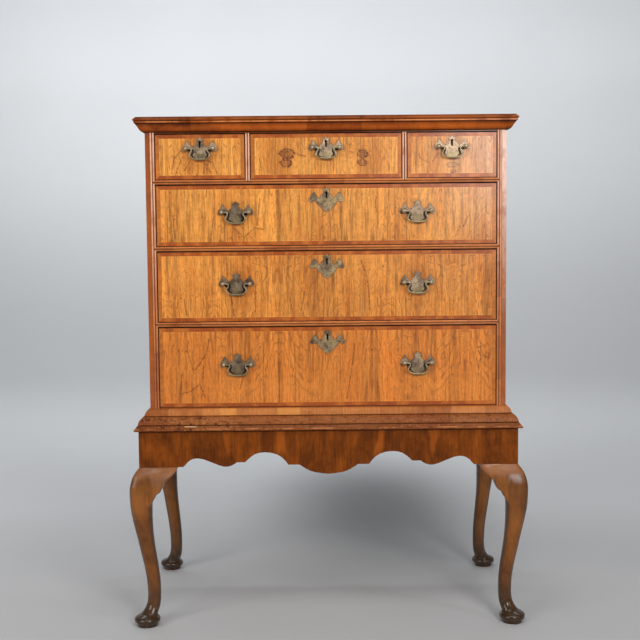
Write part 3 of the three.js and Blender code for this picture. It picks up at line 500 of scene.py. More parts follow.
def turned(name, outline, steps):
    """A solid turned on the lathe from points of radius and distance in front of the drawer."""
    deselect()
    bpy.ops.mesh.primitive_plane_add(size=MM)
    piece = bpy.context.active_object
    piece.name = name
    bpy.ops.object.mode_set(mode="EDIT")
    mesh = bmesh.from_edit_mesh(piece.data)
    mesh.verts.ensure_lookup_table()
    for vertex in mesh.verts:
        vertex.select_set(vertex.index != 0)
    mesh.select_flush(True)
    bpy.ops.mesh.delete(type="VERT")
    mesh = bmesh.from_edit_mesh(piece.data)
    mesh.verts.ensure_lookup_table()
    radius, ahead = outline[0]
    mesh.verts[0].co = (radius, -ahead, 0)
    mesh.verts[0].select_set(True)
    bmesh.update_edit_mesh(piece.data)
    for (r0, t0), (r1, t1) in zip(outline, outline[1:]):
        bpy.ops.mesh.extrude_region_move(TRANSFORM_OT_translate={"value": (r1 - r0, t0 - t1, 0)})
    bpy.ops.mesh.select_all(action="SELECT")
    bpy.ops.mesh.spin(steps=steps, angle=2 * math.pi, center=(0, 0, 0), axis=(0, 1, 0))
    bpy.ops.object.mode_set(mode="OBJECT")
    faced_outward(piece)
    return piece


def through(curve, points, closed=False):
    """Leads a curve through points, each a place, a thickness and whether it turns sharply there."""
    spline = curve.splines.new("BEZIER")
    spline.bezier_points.add(len(points) - 1)
    spline.use_cyclic_u = closed
    for point, (place, thickness, sharp) in zip(spline.bezier_points, points):
        point.co = place
        point.radius = thickness
        point.handle_left_type = point.handle_right_type = "VECTOR" if sharp else "AUTO"


def solid_of(name, curve):
    """Turns a curve into a piece."""
    piece = bpy.data.objects.new(name, curve)
    bpy.context.scene.collection.objects.link(piece)
    pick(piece)
    bpy.ops.object.convert(target="MESH")
    return bpy.context.active_object


def smooth_through(shares, corners, steps):
    """Points on a curve through the shares. The curve turns sharply at the corners."""
    points = [Vector(share) for share in shares]
    fine = []
    for i in range(len(points) - 1):
        start, end = points[i], points[i + 1]
        before = start if i in corners or i == 0 else points[i - 1]
        after = end if i + 1 in corners or i + 2 >= len(points) else points[i + 2]
        lead = (end - before) / 2 if before != start else end - start
        trail = (after - start) / 2 if after != end else end - start
        for step in range(steps):
            t = step / steps
            fine.append(start * (2 * t ** 3 - 3 * t ** 2 + 1) + lead * (t ** 3 - 2 * t ** 2 + t)
                        + end * (3 * t ** 2 - 2 * t ** 3) + trail * (t ** 3 - t ** 2))
    return fine + [points[-1]]


# Finishes
def sum_by(operation):
    """A method that makes the node for one kind of sum."""
    return lambda self, *others: self.finish.math(operation, self, *others)


class Value:
    """One output of a shader node. Sums and comparisons with it make further nodes."""

    def __init__(self, finish, socket):
        self.finish = finish
        self.socket = socket

    __add__ = __radd__ = sum_by("ADD")
    __sub__ = sum_by("SUBTRACT")
    __mul__ = __rmul__ = sum_by("MULTIPLY")
    __truediv__ = sum_by("DIVIDE")
    __abs__ = sum_by("ABSOLUTE")
    __gt__ = sum_by("GREATER_THAN")
    __lt__ = sum_by("LESS_THAN")
    most = sum_by("MAXIMUM")
    least = sum_by("MINIMUM")
    folded = sum_by("PINGPONG")
    whole = sum_by("FLOOR")
    part = sum_by("FRACT")
    sine = sum_by("SINE")

    def __rsub__(self, other):
        return self.finish.math("SUBTRACT", other, self)

    def rise(self, low, high, start=0, end=1):
        """A soft step from start to end while the value goes from low to high."""
        steps = {"Value": self, "From Min": low, "From Max": high, "To Min": start, "To Max": end}
        return self.finish.value("ShaderNodeMapRange", steps, interpolation_type="SMOOTHSTEP")

    def fall(self, low, high, start=1):
        """A soft step from start down to nothing."""
        return self.rise(low, high, start, 0)

    def line(self, middle, core, reach, strength):
        """Strong within the core on both sides of a middle, and nothing beyond the reach."""
        return abs(self - middle).fall(core, reach, strength)


def greatest(values):
    """The greatest of several values at each place."""
    return functools.reduce(Value.most, values)


class Finish:
    """One finish built from shader nodes."""

    def __init__(self, name, roughness=0.4, metallic=0.0, coat=0.0, coat_roughness=0.2, specular=0.5):
        self.colours = bpy.context.scene.highboy_colours
        self.material = bpy.data.materials.new(name)
        self.material.use_nodes = True
        self.tree = self.material.node_tree
        self.tree.nodes.clear()
        self.shader = self.tree.nodes.new("ShaderNodeBsdfPrincipled")
        output = self.tree.nodes.new("ShaderNodeOutputMaterial")
        self.tree.links.new(self.shader.outputs[0], output.inputs[0])
        for socket, value in (("Roughness", roughness), ("Metallic", metallic), ("Coat Weight", coat),
                              ("Coat Roughness", coat_roughness), ("Specular IOR Level", specular)):
            self.shader.inputs[socket].default_value = value
        self.place = self.value("ShaderNodeTexCoord", {}, "Object")
        self.x, self.y, self.z = self.parts(self.place)

    def node(self, kind, feeds, **settings):
        """A node with its settings made and its sockets fed. A colour is given by its name."""
        node = self.tree.nodes.new(kind)
        for name, value in settings.items():
            setattr(node, name, value)
        for socket, value in feeds.items():
            entry = node.inputs[socket]
            if isinstance(value, Value):
                self.tree.links.new(value.socket, entry)
            elif entry.type == "RGBA":
                entry.default_value = (*getattr(self.colours, value), 1)
            else:
                entry.default_value = value
        return node

    def value(self, kind, feeds, output=0, **settings):
        """One output of a new node."""
        return Value(self, self.node(kind, feeds, **settings).outputs[output])

    def feed(self, socket, value):
        """Feeds a socket of the shader."""
        self.tree.links.new(value.socket, self.shader.inputs[socket])

    def math(self, operation, *parts, clamp=False):
        return self.value("ShaderNodeMath", dict(enumerate(parts)), operation=operation, use_clamp=clamp)

    def arrow(self, operation, first, second, output=0):
        """A sum with coordinates."""
        return self.value("ShaderNodeVectorMath", {0: first, 1: second}, output, operation=operation)

    def parts(self, place):
        """The three coordinates of a place."""
        return [Value(self, output) for output in self.node("ShaderNodeSeparateXYZ", {0: place}).outputs]

    def vector(self, x, y, z):
        return self.value("ShaderNodeCombineXYZ", {0: x, 1: y, 2: z})

    def stretched(self, x, y, z, place=None):
        """Coordinates multiplied along each axis."""
        return self.arrow("MULTIPLY", place or self.place, (x, y, z))

    def distance(self, place, point):
        return self.arrow("DISTANCE", place, point, "Value")

    def noise(self, scale, detail=3, roughness=0.55, distortion=0, place=None):
        feeds = {"Vector": place or self.place, "Scale": scale, "Detail": detail,
                 "Roughness": roughness, "Distortion": distortion}
        return self.value("ShaderNodeTexNoise", feeds)

    def chance(self, value):
        """A steady random number for each whole number."""
        return self.value("ShaderNodeTexWhiteNoise", {"W": value}, "Value", noise_dimensions="1D")

    def covered(self, reach):
        """How open a place is to its surroundings within a reach, from 0 to 1."""
        return self.value("ShaderNodeAmbientOcclusion", {"Distance": reach}, "AO", samples=6)

    def choice(self, share, first, second):
        """Goes from the first value to the second as the share goes from 0 to 1."""
        return self.value("ShaderNodeMix", {0: share, 2: first, 3: second}, data_type="FLOAT")

    def mix(self, share, low, high, blend="MIX"):
        feeds = {0: share, 6: low, 7: high}
        return self.value("ShaderNodeMix", feeds, 2, data_type="RGBA", blend_type=blend)

    def stained(self, colour, stain, *shares):
        """A colour with a stain laid over it once for each share."""
        for share in shares:
            colour = self.mix(share, colour, stain)
        return colour

    def shaded(self, colour, amount):
        """A colour multiplied by a grey amount."""
        grey = self.value("ShaderNodeCombineColor", {0: amount, 1: amount, 2: amount})
        return self.mix(1, colour, grey, "MULTIPLY")

    def dots(self, scale, size, keep):
        """Small round specks: how dark each place is."""
        node = self.node("ShaderNodeTexVoronoi", {"Vector": self.place, "Scale": scale}, feature="F1")
        colour, distance = (Value(self, node.outputs[name]) for name in ("Color", "Distance"))
        chosen = self.value("ShaderNodeSeparateColor", {0: colour})
        return distance.fall(0.4 * size, size) * (chosen > keep)

    def near_line(self, place, x0, z0, x1, z1, half):
        """How close a place on the front is to a straight line, from 0 to 1. Sizes in millimetres."""
        start = Vector((x0 * MM, 0, z0 * MM))
        along = Vector((x1 * MM, 0, z1 * MM)) - start
        from_start = self.arrow("SUBTRACT", place, tuple(start))
        reach = self.arrow("DOT_PRODUCT", from_start, tuple(along), "Value")
        share = self.math("DIVIDE", reach, along.length_squared, clamp=True)
        step = self.value("ShaderNodeVectorMath", {0: tuple(along), "Scale": share}, operation="SCALE")
        return self.distance(from_start, step).fall(0.3 * half * MM, half * MM)

    def near_place(self, place, x, z, radius):
        """How close a place on the front is to a point, from 0 to 1. Sizes in millimetres."""
        return self.distance(place, (x * MM, 0, z * MM)).fall(0, radius * MM)

    def oval(self, place, x, z, across, up):
        """Distance from a place on the front, with 1 on an oval round it. Sizes in millimetres."""
        scaled = self.stretched(1 / (across * MM), 0, 1 / (up * MM), place)
        return self.distance(scaled, (x / across, 0, z / up))

    def coloured(self, colour, rough, height, depth):
        """Gives the shader its colour, its roughness and its relief."""
        self.feed("Base Color", colour)
        self.feed("Roughness", rough)
        relief = {"Height": height, "Distance": depth, "Strength": 0.6}
        self.feed("Normal", self.value("ShaderNodeBump", relief))
        return self.material


def veneer_finish(drawer, band_width):
    """Figured walnut in mirrored leaves inside a crossband, for one drawer front."""
    look = VENEER[drawer]
    seed = look["seed"]
    low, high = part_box(f"drawer_front_{drawer}")
    f = Finish(f"figured_veneer_{drawer}", coat=0.5, coat_roughness=0.24, specular=0.25)
    from_middle = f.x - (low.x + high.x) / 2
    beside = (high.x - low.x) / 2 - abs(from_middle)
    above = (high.z - low.z) / 2 - abs(f.z - (low.z + high.z) / 2)
    edge = beside.least(above)
    at_end = above > beside

    # Mirrored leaves
    leaf = look["leaf"] * MM
    from_seam = f.x - look["seam"] * MM
    folded = from_seam.folded(leaf)
    leaf_tone = f.chance((from_seam / leaf).whole() + seed)
    sheet = f.vector(folded, seed, f.z)

    # Grain height, which the eyes and knots disturb
    growth = f.noise(9, 3, 0.52, 0.3, f.stretched(1, 1, 0.3, sheet))
    sway = (f.noise(26, 2, place=f.stretched(1, 1, 0.55, sheet)) - 0.5) * (7 * MM)
    shiver = (f.noise(190, 2) - 0.5) * (5 * MM)
    flat = f.vector(f.x + sway + shiver, 0, f.z + shiver)
    for x, z, across, up, amount in look["eyes"]:
        growth += f.oval(flat, x, z, across, up).fall(0, 1) * amount
    darks = []
    for x, z, radius, dark in look["knots"]:
        growth += f.near_place(flat, x, z, 7 * radius) * 0.1
        darks.append(f.near_place(flat, x, z, 1.5 * radius) * dark)
    strands = greatest(f.near_line(flat, *strand, 2.6) for strand in look["strands"])
    strands *= f.noise(120, 3, 0.6).rise(0.36, 0.6, 0.3, 1)
    ragged = (f.noise(90, 3, 0.65) - 0.5) * 1.3
    broken = f.noise(210, 2, 0.6).rise(0.38, 0.54, 0.4, 1)
    warm = []
    for x, z, across, up, dark in look["burrs"]:
        distance = f.oval(f.place, x, z, across, up) + ragged
        darks.append(distance.line(0.8, 0.04, 0.26, dark) * broken)
        warm.append(distance.fall(0.6, 1.1, 0.45 * dark))

    # Figure lines, streaks, strips, clouds and pores
    lines = (growth * 30).folded(0.5).fall(0, 0.13)
    lines *= f.noise(12, place=f.stretched(1, 1, 0.6, sheet)).rise(0.38, 0.6, 0.22, 1)
    streaks = f.noise(1, 2, place=f.stretched(330, 1, 15, sheet))
    bundles = f.noise(1, 3, 0.6, place=f.stretched(80, 1, 3.5, sheet))
    clouds = f.noise(15, 3, 0.6, place=f.stretched(1, 1, 0.4, sheet))
    curl = f.noise(150, 3, 0.65, 0.6, f.stretched(1, 1, 0.55, sheet))
    pores = f.noise(1, 1, place=f.stretched(700, 1, 60)).rise(0.62, 0.7)
    dashes = f.noise(1, 2, 0.6, place=f.stretched(240, 1, 34, sheet)).rise(0.6, 0.7)
    field = f.mix(clouds.rise(0.34, 0.66), "field_gold", "field_orange")
    field = f.mix(look["warm"], field, "field_red")
    if warm:
        field = f.stained(field, "figure_line", greatest(warm))
    # Painted sheen towards the upper right corner of the case, where the key light is reflected
    field = f.stained(field, "faded", f.x.rise(0.26, 0.47) * f.z.rise(0.9, 1.28, 0, 0.36))
    light = look["light"] + leaf_tone * 0.12 + (streaks - 0.5) * 0.6 + (bundles - 0.5) * 0.7
    light += (curl - 0.5) * 0.7 + (growth * 96).sine() * 0.06
    light += edge.fall(band_width, band_width + 5 * MM, 0.1)
    for x, half, change in look["strips"]:
        light += (f.x + sway * 0.6).line(x * MM, 0.5 * half * MM, 1.3 * half * MM, 1.2 * change)
    browner = (bundles * 0.5 + streaks * 0.5).fall(0.4, 0.5, 0.3)
    field = f.stained(f.shaded(field, light), "figure_line", browner, lines * 0.5, strands * 0.75,
                      dashes * 0.45, pores * 0.35)
    specks = (f.dots(62, 0.075, 0.6) * 0.6, f.dots(105, 0.13, 0.72) * 0.5)
    field = f.stained(field, "knot", *specks, greatest(darks))
    field = f.stained(field, "figure_line", folded.least(leaf - folded).fall(0, 0.9 * MM, 0.22))

    # Crossband: grain across the band, in lengths that differ in tone, and paler at the two ends
    run = f.choice(at_end, f.x, f.z) + f.noise(8, 1) * 0.03
    length_tone = f.chance((run / CROSSBAND_LENGTH + seed).whole())
    across = f.noise(1, place=f.vector(run * 300, seed, edge * 60))
    band = f.mix(f.noise(34, 2).rise(0.42, 0.62), "crossband", "crossband_light")
    band = f.stained(band, "field_orange", at_end * 0.4)
    band = f.shaded(band, 0.86 + length_tone * 0.2 + (across - 0.5) * 0.8)
    colour = f.mix(edge.rise(band_width - 0.25 * MM, band_width + 0.25 * MM), band, field)
    # Painted shade where parts round the front close in, a dark joint line round the field, and a painted
    # shadow in the gap along the front's edges
    colour = f.stained(colour, "grime", f.covered(7 * MM).fall(0.4, 0.95, 0.85))
    colour = f.stained(colour, "figure_line", edge.line(band_width, 0, 0.6 * MM, 0.5))
    colour = f.stained(colour, "grime", edge.fall(0.2 * MM, 1.6 * MM, 0.75))
    # Dirt left round each handle, and below it a painted shadow of the bail's grip that is partly finger
    # dirt
    for body, across, pivot in HANDLES.values():
        if body == f"drawer_{drawer}":
            halo = f.oval(flat, across, pivot - 2, 60, 42).fall(0.6, 1, 0.22)
            below = f.oval(flat, across + 3, pivot - 31, 26, 7).fall(0.2, 1, 0.7)
            colour = f.stained(f.stained(colour, "figure_line", halo), "knot", below)
    colour = f.stained(colour, "oak", f.y > CASE_FRONT + 2.5 * MM)
    # Painted shade on the wood seen through each keyhole
    beside_key = abs(from_middle) < KEYHOLE_DARK_SIDE
    keyhole = beside_key * (abs(high.z - KEYHOLE_DOWN - f.z) < KEYHOLE_DARK_RISE)
    colour = f.stained(colour, "keyhole", (keyhole * (f.y > CASE_FRONT + 0.02 * MM)).most(keyhole * 0.9))
    height = (lines + pores) * -0.5 + streaks * 0.5 + curl
    return f.coloured(colour, clouds.rise(0.3, 0.7, 0.38, 0.5), height, 0.07 * MM)


def run_along(f):
    """Length along a moulding that goes round the front and both sides, and whether it's on a side."""
    is_side = abs(f.x) + f.y > CASE_HALF + CASE_FRONT
    return f.choice(is_side, f.x, f.y), is_side


def cross_grain(f, run, cross, block, seed, light, dark, contrast, spread):
    """Short lengths of veneer laid across a moulding: the colour before any dirt, and the grain."""
    number = ((run + f.noise(6, 1) * 0.045) / block + seed).whole()
    length_tone = f.chance(number) * spread + 0.5 * (0.65 - spread)
    grain = f.noise(1, 2, place=f.vector(run * 460, seed, cross * 42))
    colour = f.mix((length_tone + f.noise(30, 3, 0.6) * 0.5).rise(0.25, 0.85), dark, light)
    colour = f.shaded(colour, 1 + (grain - 0.5) * contrast)
    return f.stained(colour, "grime", f.noise(120, 2).rise(0.66, 0.75, 0, 0.4)), grain


def hollows(down, places):
    """Painted shade in the recesses of a moulding."""
    return [down.line(depth * MM, 0.2 * half * MM, half * MM, strength) for depth, half, strength in places]


def cornice_finish():
    """Dark cross-grain walnut with painted shade in its recesses, painted light and shade across its cove
    and painted highlights along two fillets.
    """
    f = Finish("cornice_walnut", coat=0.08, coat_roughness=0.2, specular=0.12)
    run, _ = run_along(f)
    colour, grain = cross_grain(f, run, f.z, 0.15, 4.2, "cornice_light", "cornice", 0.6, 0.3)
    down = CASE_HEAD - f.z
    colour = f.stained(colour, "grime", down.fall(7 * MM, 11 * MM, 0.35))
    # Painted light and shade across the cove: dark at its top, brightest past its middle and darker again
    # towards its foot
    in_cove = down > 17.5 * MM
    cove_light_and_shade = down.rise(17.5 * MM, 27 * MM, 0.62, 1.2) * down.rise(30 * MM, 38 * MM, 1, 0.7)
    colour = f.shaded(colour, f.choice(in_cove, 0.92, cove_light_and_shade))
    # Painted shade in the recesses
    colour = f.stained(colour, "grime", *hollows(down, CORNICE_HOLLOWS))
    # Painted highlights along two fillets, broken up by noise
    for depth, strength in ((13.8, 0.75), (6.0, 0.25)):
        wear_and_highlight = down.line(depth * MM, 0.6 * MM, 2 * MM, strength) * f.noise(30).rise(0.3, 0.55)
        colour = f.stained(colour, "bead", wear_and_highlight)
    stains = f.noise(13, place=f.stretched(1, 1, 1.6)).rise(0.46, 0.66)
    stains *= abs(f.x).rise(0.3, 0.48, 0.35, 0.75) * in_cove.rise(0, 1, 0.3, 1)
    colour = f.stained(colour, "grime", stains, (f.z > CASE_HEAD - 0.2 * MM) * 0.35)
    return f.coloured(colour, f.noise(24).rise(0.3, 0.7, 0.34, 0.5), grain, 0.08 * MM)


def waist_finish():
    """Worn cross-grain walnut of the stepped moulding between case and stand, with painted shade in its
    recesses and a painted highlight along its lip.
    """
    f = Finish("waist_walnut", coat=0.06, coat_roughness=0.22, specular=0.15)
    run, is_side = run_along(f)
    colour, grain = cross_grain(f, run, f.z, 0.095, 9.3, "waist_light", "waist", 0.8, 0.4)
    down = WAIST_HEAD - f.z
    lower = down.rise(17.5 * MM, 19.5 * MM)
    colour = f.stained(colour, "waist_low", lower * down.rise(40 * MM, 44 * MM, 0.6, 0.8))
    # Wear of the lower steps, heaviest near the left end
    wear = lower * f.x.rise(-0.3, -0.2, 1, 0.55)
    scuffs = f.noise(62, 4, 0.7, place=f.stretched(1, 1, 2.4)).rise(0.5, 0.64)
    flecks = f.noise(150, 3, 0.7, place=f.stretched(1, 1, 1.6)).rise(0.56, 0.66)
    colour = f.stained(f.stained(colour, "grime", scuffs * wear * 0.8), "bead", flecks * wear * 0.5)
    # Painted shade in the recesses
    colour = f.stained(colour, "grime", *hollows(down, WAIST_HOLLOWS))
    # Two paler lengths in the upper steps
    upper = down.fall(16 * MM, 18 * MM) * (1 - is_side)
    for left, right in ((-292, -245), (-139, -73)):
        inside = f.x.rise(left * MM, (left + 6) * MM) * f.x.fall((right - 6) * MM, right * MM)
        colour = f.stained(colour, "field_gold", inside * upper * 0.35)
    # A painted highlight along the front of the lip, broken up by noise
    wear_and_highlight = down.line(50 * MM, 0, 2.6 * MM, 0.6) * f.noise(36).rise(0.42, 0.64)
    chip = f.near_line(f.stretched(1, 0, 1), -381, 544.6, -347, 544.2, 1.6)
    chip *= f.noise(90, 2).rise(0.34, 0.5, 0.3, 0.85)
    colour = f.stained(f.stained(colour, "bead", wear_and_highlight), "chip", chip)
    return f.coloured(colour, f.noise(28).rise(0.3, 0.7, 0.36, 0.6), grain - scuffs * 0.6, 0.1 * MM)


def lit_and_shaded_bead(f, colour, upright):
    """Painted highlights on the crests and painted shade in the groove of a double bead. Upright beads get
    the palest highlights, strongest high up.
    """
    # Painted highlights on the crests, where the lights are reflected, and painted shade in the groove below
    rubbed_and_lit = f.y.fall(CASE_FRONT - 2.4 * MM, CASE_FRONT - 1.3 * MM) * f.noise(26).rise(0.32, 0.56, 0.35, 1)
    if upright:
        colour = f.stained(colour, "bead_pale", rubbed_and_lit * f.z.rise(0.7, 1.25, 0.12, 0.9))
    else:
        colour = f.stained(colour, "bead", rubbed_and_lit * 0.4)
    hollow = f.y.rise(CASE_FRONT - 1.5 * MM, CASE_FRONT - 0.5 * MM, 0, 0.92 if upright else 0.7)
    return f.stained(colour, "grime", hollow)


def bead_finish(name, upright, seed, middle=None):
    """Cross-grain walnut of the double beads, and oak where the piece runs back into the case.

    The lower bead of a rail is darker, below the middle that is given.
    """
    f = Finish(name, coat=0.5 if upright else 0.2, coat_roughness=0.12, specular=0.2)
    run, cross = (f.z, f.x) if upright else (f.x, f.z)
    colour, grain = cross_grain(f, run, cross, 0.12, seed, "bead_light", "bead_dark", 0.5, 0.4)
    colour = lit_and_shaded_bead(f, colour, upright)
    if middle is not None:
        colour = f.shaded(colour, f.z.rise(middle - MM, middle + MM, 0.8, 1.05))
    colour = f.mix(f.y.rise(CASE_FRONT + 22 * MM, CASE_FRONT + 23 * MM), colour, oak_colour(f, True))
    return f.coloured(colour, f.noise(22).rise(0.3, 0.7, 0.24, 0.4), grain, 0.05 * MM)


def side_finish(name, seed):
    """Case side: a crossbanded strip and double bead in front, walnut outside and oak inside."""
    f = Finish(name, coat=0.7, coat_roughness=0.2, specular=0.2)
    band, grain = cross_grain(f, f.z, f.x, 0.13, seed, "stile_light", "stile", 0.7, 0.45)
    beads, _ = cross_grain(f, f.z, f.x, 0.11, seed + 3.7, "bead_light", "bead_dark", 0.4, 0.4)
    # Painted sheen on the right-hand stile where the key light is reflected, fading towards the floor
    faded = f.z.rise(0.72, 1.2, 0.06, 0.66) * (f.x > 0)
    faded *= f.noise(60, 4, 0.65, place=f.stretched(1, 1, 0.5)).rise(0.36, 0.54, 0.35, 1)
    band = f.stained(band, "faded", faded)
    front = f.mix(abs(f.x).rise(464.9 * MM, 465.3 * MM), lit_and_shaded_bead(f, beads, True), band)
    growth = f.noise(6, 2, 0.5, 0.3, f.stretched(1, 1.6, 0.16))
    streaks = f.noise(1, 2, place=f.stretched(260, 260, 12))
    outside = f.mix(f.noise(7, place=f.stretched(1, 2.4, 0.2)).rise(0.3, 0.7), "side", "side_light")
    outside = f.shaded(outside, 1 + (streaks - 0.5) * 0.8)
    outside = f.stained(outside, "grime", (growth * 30).folded(0.5).fall(0, 0.24) * 0.22)
    colour = f.mix(f.y.rise(CASE_FRONT - 0.05 * MM, CASE_FRONT + 0.3 * MM), front, outside)
    within = (abs(f.x) < 463 * MM) * (f.y > CASE_FRONT + 5 * MM)
    colour = f.mix(within, colour, oak_colour(f, False))
    return f.coloured(colour, f.noise(18).rise(0.3, 0.7, 0.3, 0.44), grain + streaks, 0.06 * MM)


def apron_finish(name, seed, along_x):
    """Dark crotch veneer with lighter tongues hanging from its top edge, and a painted shadow along the top
    under the waist moulding.
    """
    f = Finish(name, coat=0.06, coat_roughness=0.2, specular=0.12)
    along = f.x if along_x else f.y
    down = STAND_TOP - f.z
    plume = f.noise(17, 4, 0.6, 0.8, f.vector(along, seed, f.z * 0.45))
    strands = f.noise(1, 3, 0.6, 0.4, f.vector(along * 210, seed, f.z * 20))
    mottle = f.noise(52, 3, 0.6, 0.3)
    colour = f.mix(plume.rise(0.2, 0.8), "apron", "apron_light")
    colour = f.shaded(colour, 0.96 + (strands - 0.5) * 1.4 + (mottle - 0.5) * 0.7)
    tongue = f.shaded("tongue", 1 + (strands - 0.5) * 0.7)
    sway = (f.noise(28, 2) - 0.5) * (12 * MM)
    for top, foot, half_top, half_foot, length, strength in TONGUES if along_x else SIDE_TONGUES:
        share = down / (length * MM)
        middle = share * ((foot - top) * MM) + top * MM
        half = share * ((half_foot - half_top) * MM) + half_top * MM
        inside = half - abs(along + sway - middle)
        mask = inside.rise(-4 * MM, 6 * MM) * share.fall(0.6, 1)
        colour = f.mix(mask * strength, colour, tongue)
    # Painted shadow under the waist moulding's lip
    colour = f.stained(colour, "grime", down.fall(0, 4 * MM, 0.85))
    return f.coloured(colour, mottle.rise(0.3, 0.7, 0.28, 0.42), strands, 0.06 * MM)


def leg_finish():
    """Waxed walnut, darker at the ankles and scuffed grey on the feet, with painted shade on faces turned
    sideways and a painted highlight across the top of each knee.
    """
    f = Finish("leg_walnut", coat=0.7, specular=0.12)
    f.feed("Coat Roughness", f.z.rise(0.1, 0.36, 0.12, 0.3))
    grain = f.noise(1, 3, 0.6, 0.3, f.stretched(150, 150, 9))
    clouds = f.noise(16, 3, 0.6, place=f.stretched(1, 1, 0.5))
    colour = f.mix(clouds.rise(0.35, 0.66), "leg", "leg_light")
    colour = f.shaded(colour, 1 + (grain - 0.5) * 0.75)
    # Painted shade on the faces turned to the sides
    side_shade = abs(f.parts(f.value("ShaderNodeNewGeometry", {}, "Normal"))[0])
    colour = f.stained(colour, "foot", side_shade.rise(0.5, 0.95, 0, 0.7))
    under_apron = f.z.fall(KNEE_TOP - MM, KNEE_TOP)
    # Painted highlight across the top of the knee, in the brackets' paler colour
    knee_top_highlight = (f.z + clouds * 0.012).rise(KNEE_TOP - 26 * MM, KNEE_TOP - 12 * MM, 0, 0.5)
    colour = f.stained(colour, "bracket", knee_top_highlight * under_apron)
    dark_low = (f.z + clouds * 0.04).fall(0.04, 0.16, 0.95)
    dark_rear = (f.y > 0) * f.z.rise(0.08, 0.3, 0.5, 0.1)
    knocks = f.noise(85, 3, 0.7).rise(0.62, 0.72, 0, 0.5)
    colour = f.stained(colour, "foot", dark_low, dark_rear, knocks)
    wear_and_highlight = f.noise(60, 4, 0.7).rise(0.56, 0.68, 0, 0.45) * f.z.fall(0.03, 0.1)
    colour = f.stained(colour, "foot_worn", wear_and_highlight)
    # The knee brackets are separate blocks, of a paler wood, glued beside the leg
    high = f.z.rise(KNEE_TOP - 92 * MM, KNEE_TOP - 84 * MM)
    for away, seam in ((abs(f.x), STAND_HALF - 45 * MM), (abs(f.y), STAND_BACK - 45 * MM)):
        colour = f.stained(colour, "bracket", (away < seam) * high * 0.16)
        colour = f.stained(colour, "grime", away.line(seam, 0, 0.6 * MM, 0.4) * high * under_apron)
    return f.coloured(colour, clouds.rise(0.3, 0.7, 0.26, 0.42), grain - knocks, 0.08 * MM)


def along_grain(f, along_x, length):
    """Places stretched along the grain of oak, across the case or from front to back."""
    return f.stretched(length, 240, 240) if along_x else f.stretched(240, length, 240)


def oak_colour(f, along_x):
    """Dry oak with its grain across the case or from front to back."""
    grain = f.noise(1, 3, 0.6, place=along_grain(f, along_x, 12))
    return f.shaded(f.mix(f.noise(6).rise(0.2, 0.8), "oak", "oak_light"), 0.95 + (grain - 0.5) * 0.8)


def oak_finish(name, along_x, joints=(), dovetails=None, faced=False):
    """Unpolished oak. Joints are places across where two boards meet. A faced board has a walnut front."""
    f = Finish(name, roughness=0.7, specular=0.3)
    colour = oak_colour(f, along_x)
    if faced:
        colour = f.stained(colour, "stile", f.y < CASE_FRONT + 1.5 * MM)
    colour = f.stained(colour, "grime", *(f.x.line(place, 0, 1.2 * MM, 0.85) for place in joints))
    if dovetails is not None:
        back = f.y - (CASE_FRONT + 6 * MM)
        from_middle = abs(((f.z - dovetails) / DOVETAIL_PITCH).part() - 0.5) * DOVETAIL_PITCH
        half = back * 0.22 + 5 * MM
        near_front = back.fall(DOVETAIL_DEPTH - 0.2 * MM, DOVETAIL_DEPTH + 0.2 * MM)
        colour = f.stained(colour, "oak", (from_middle < half) * near_front * 0.5)
        line = from_middle.line(half, 0.2 * MM, 0.7 * MM, 0.8) * near_front
        end_line = back.line(DOVETAIL_DEPTH, 0.1 * MM, 0.5 * MM, 0.7)
        colour = f.stained(colour, "grime", line.most(end_line))
    colour = f.stained(colour, "grime", f.noise(9, 4, 0.6).rise(0.5, 0.8, 0, 0.22))
    grain = f.noise(1, 2, place=along_grain(f, along_x, 30))
    return f.coloured(colour, f.noise(30).rise(0.3, 0.7, 0.58, 0.8), grain, 0.15 * MM)


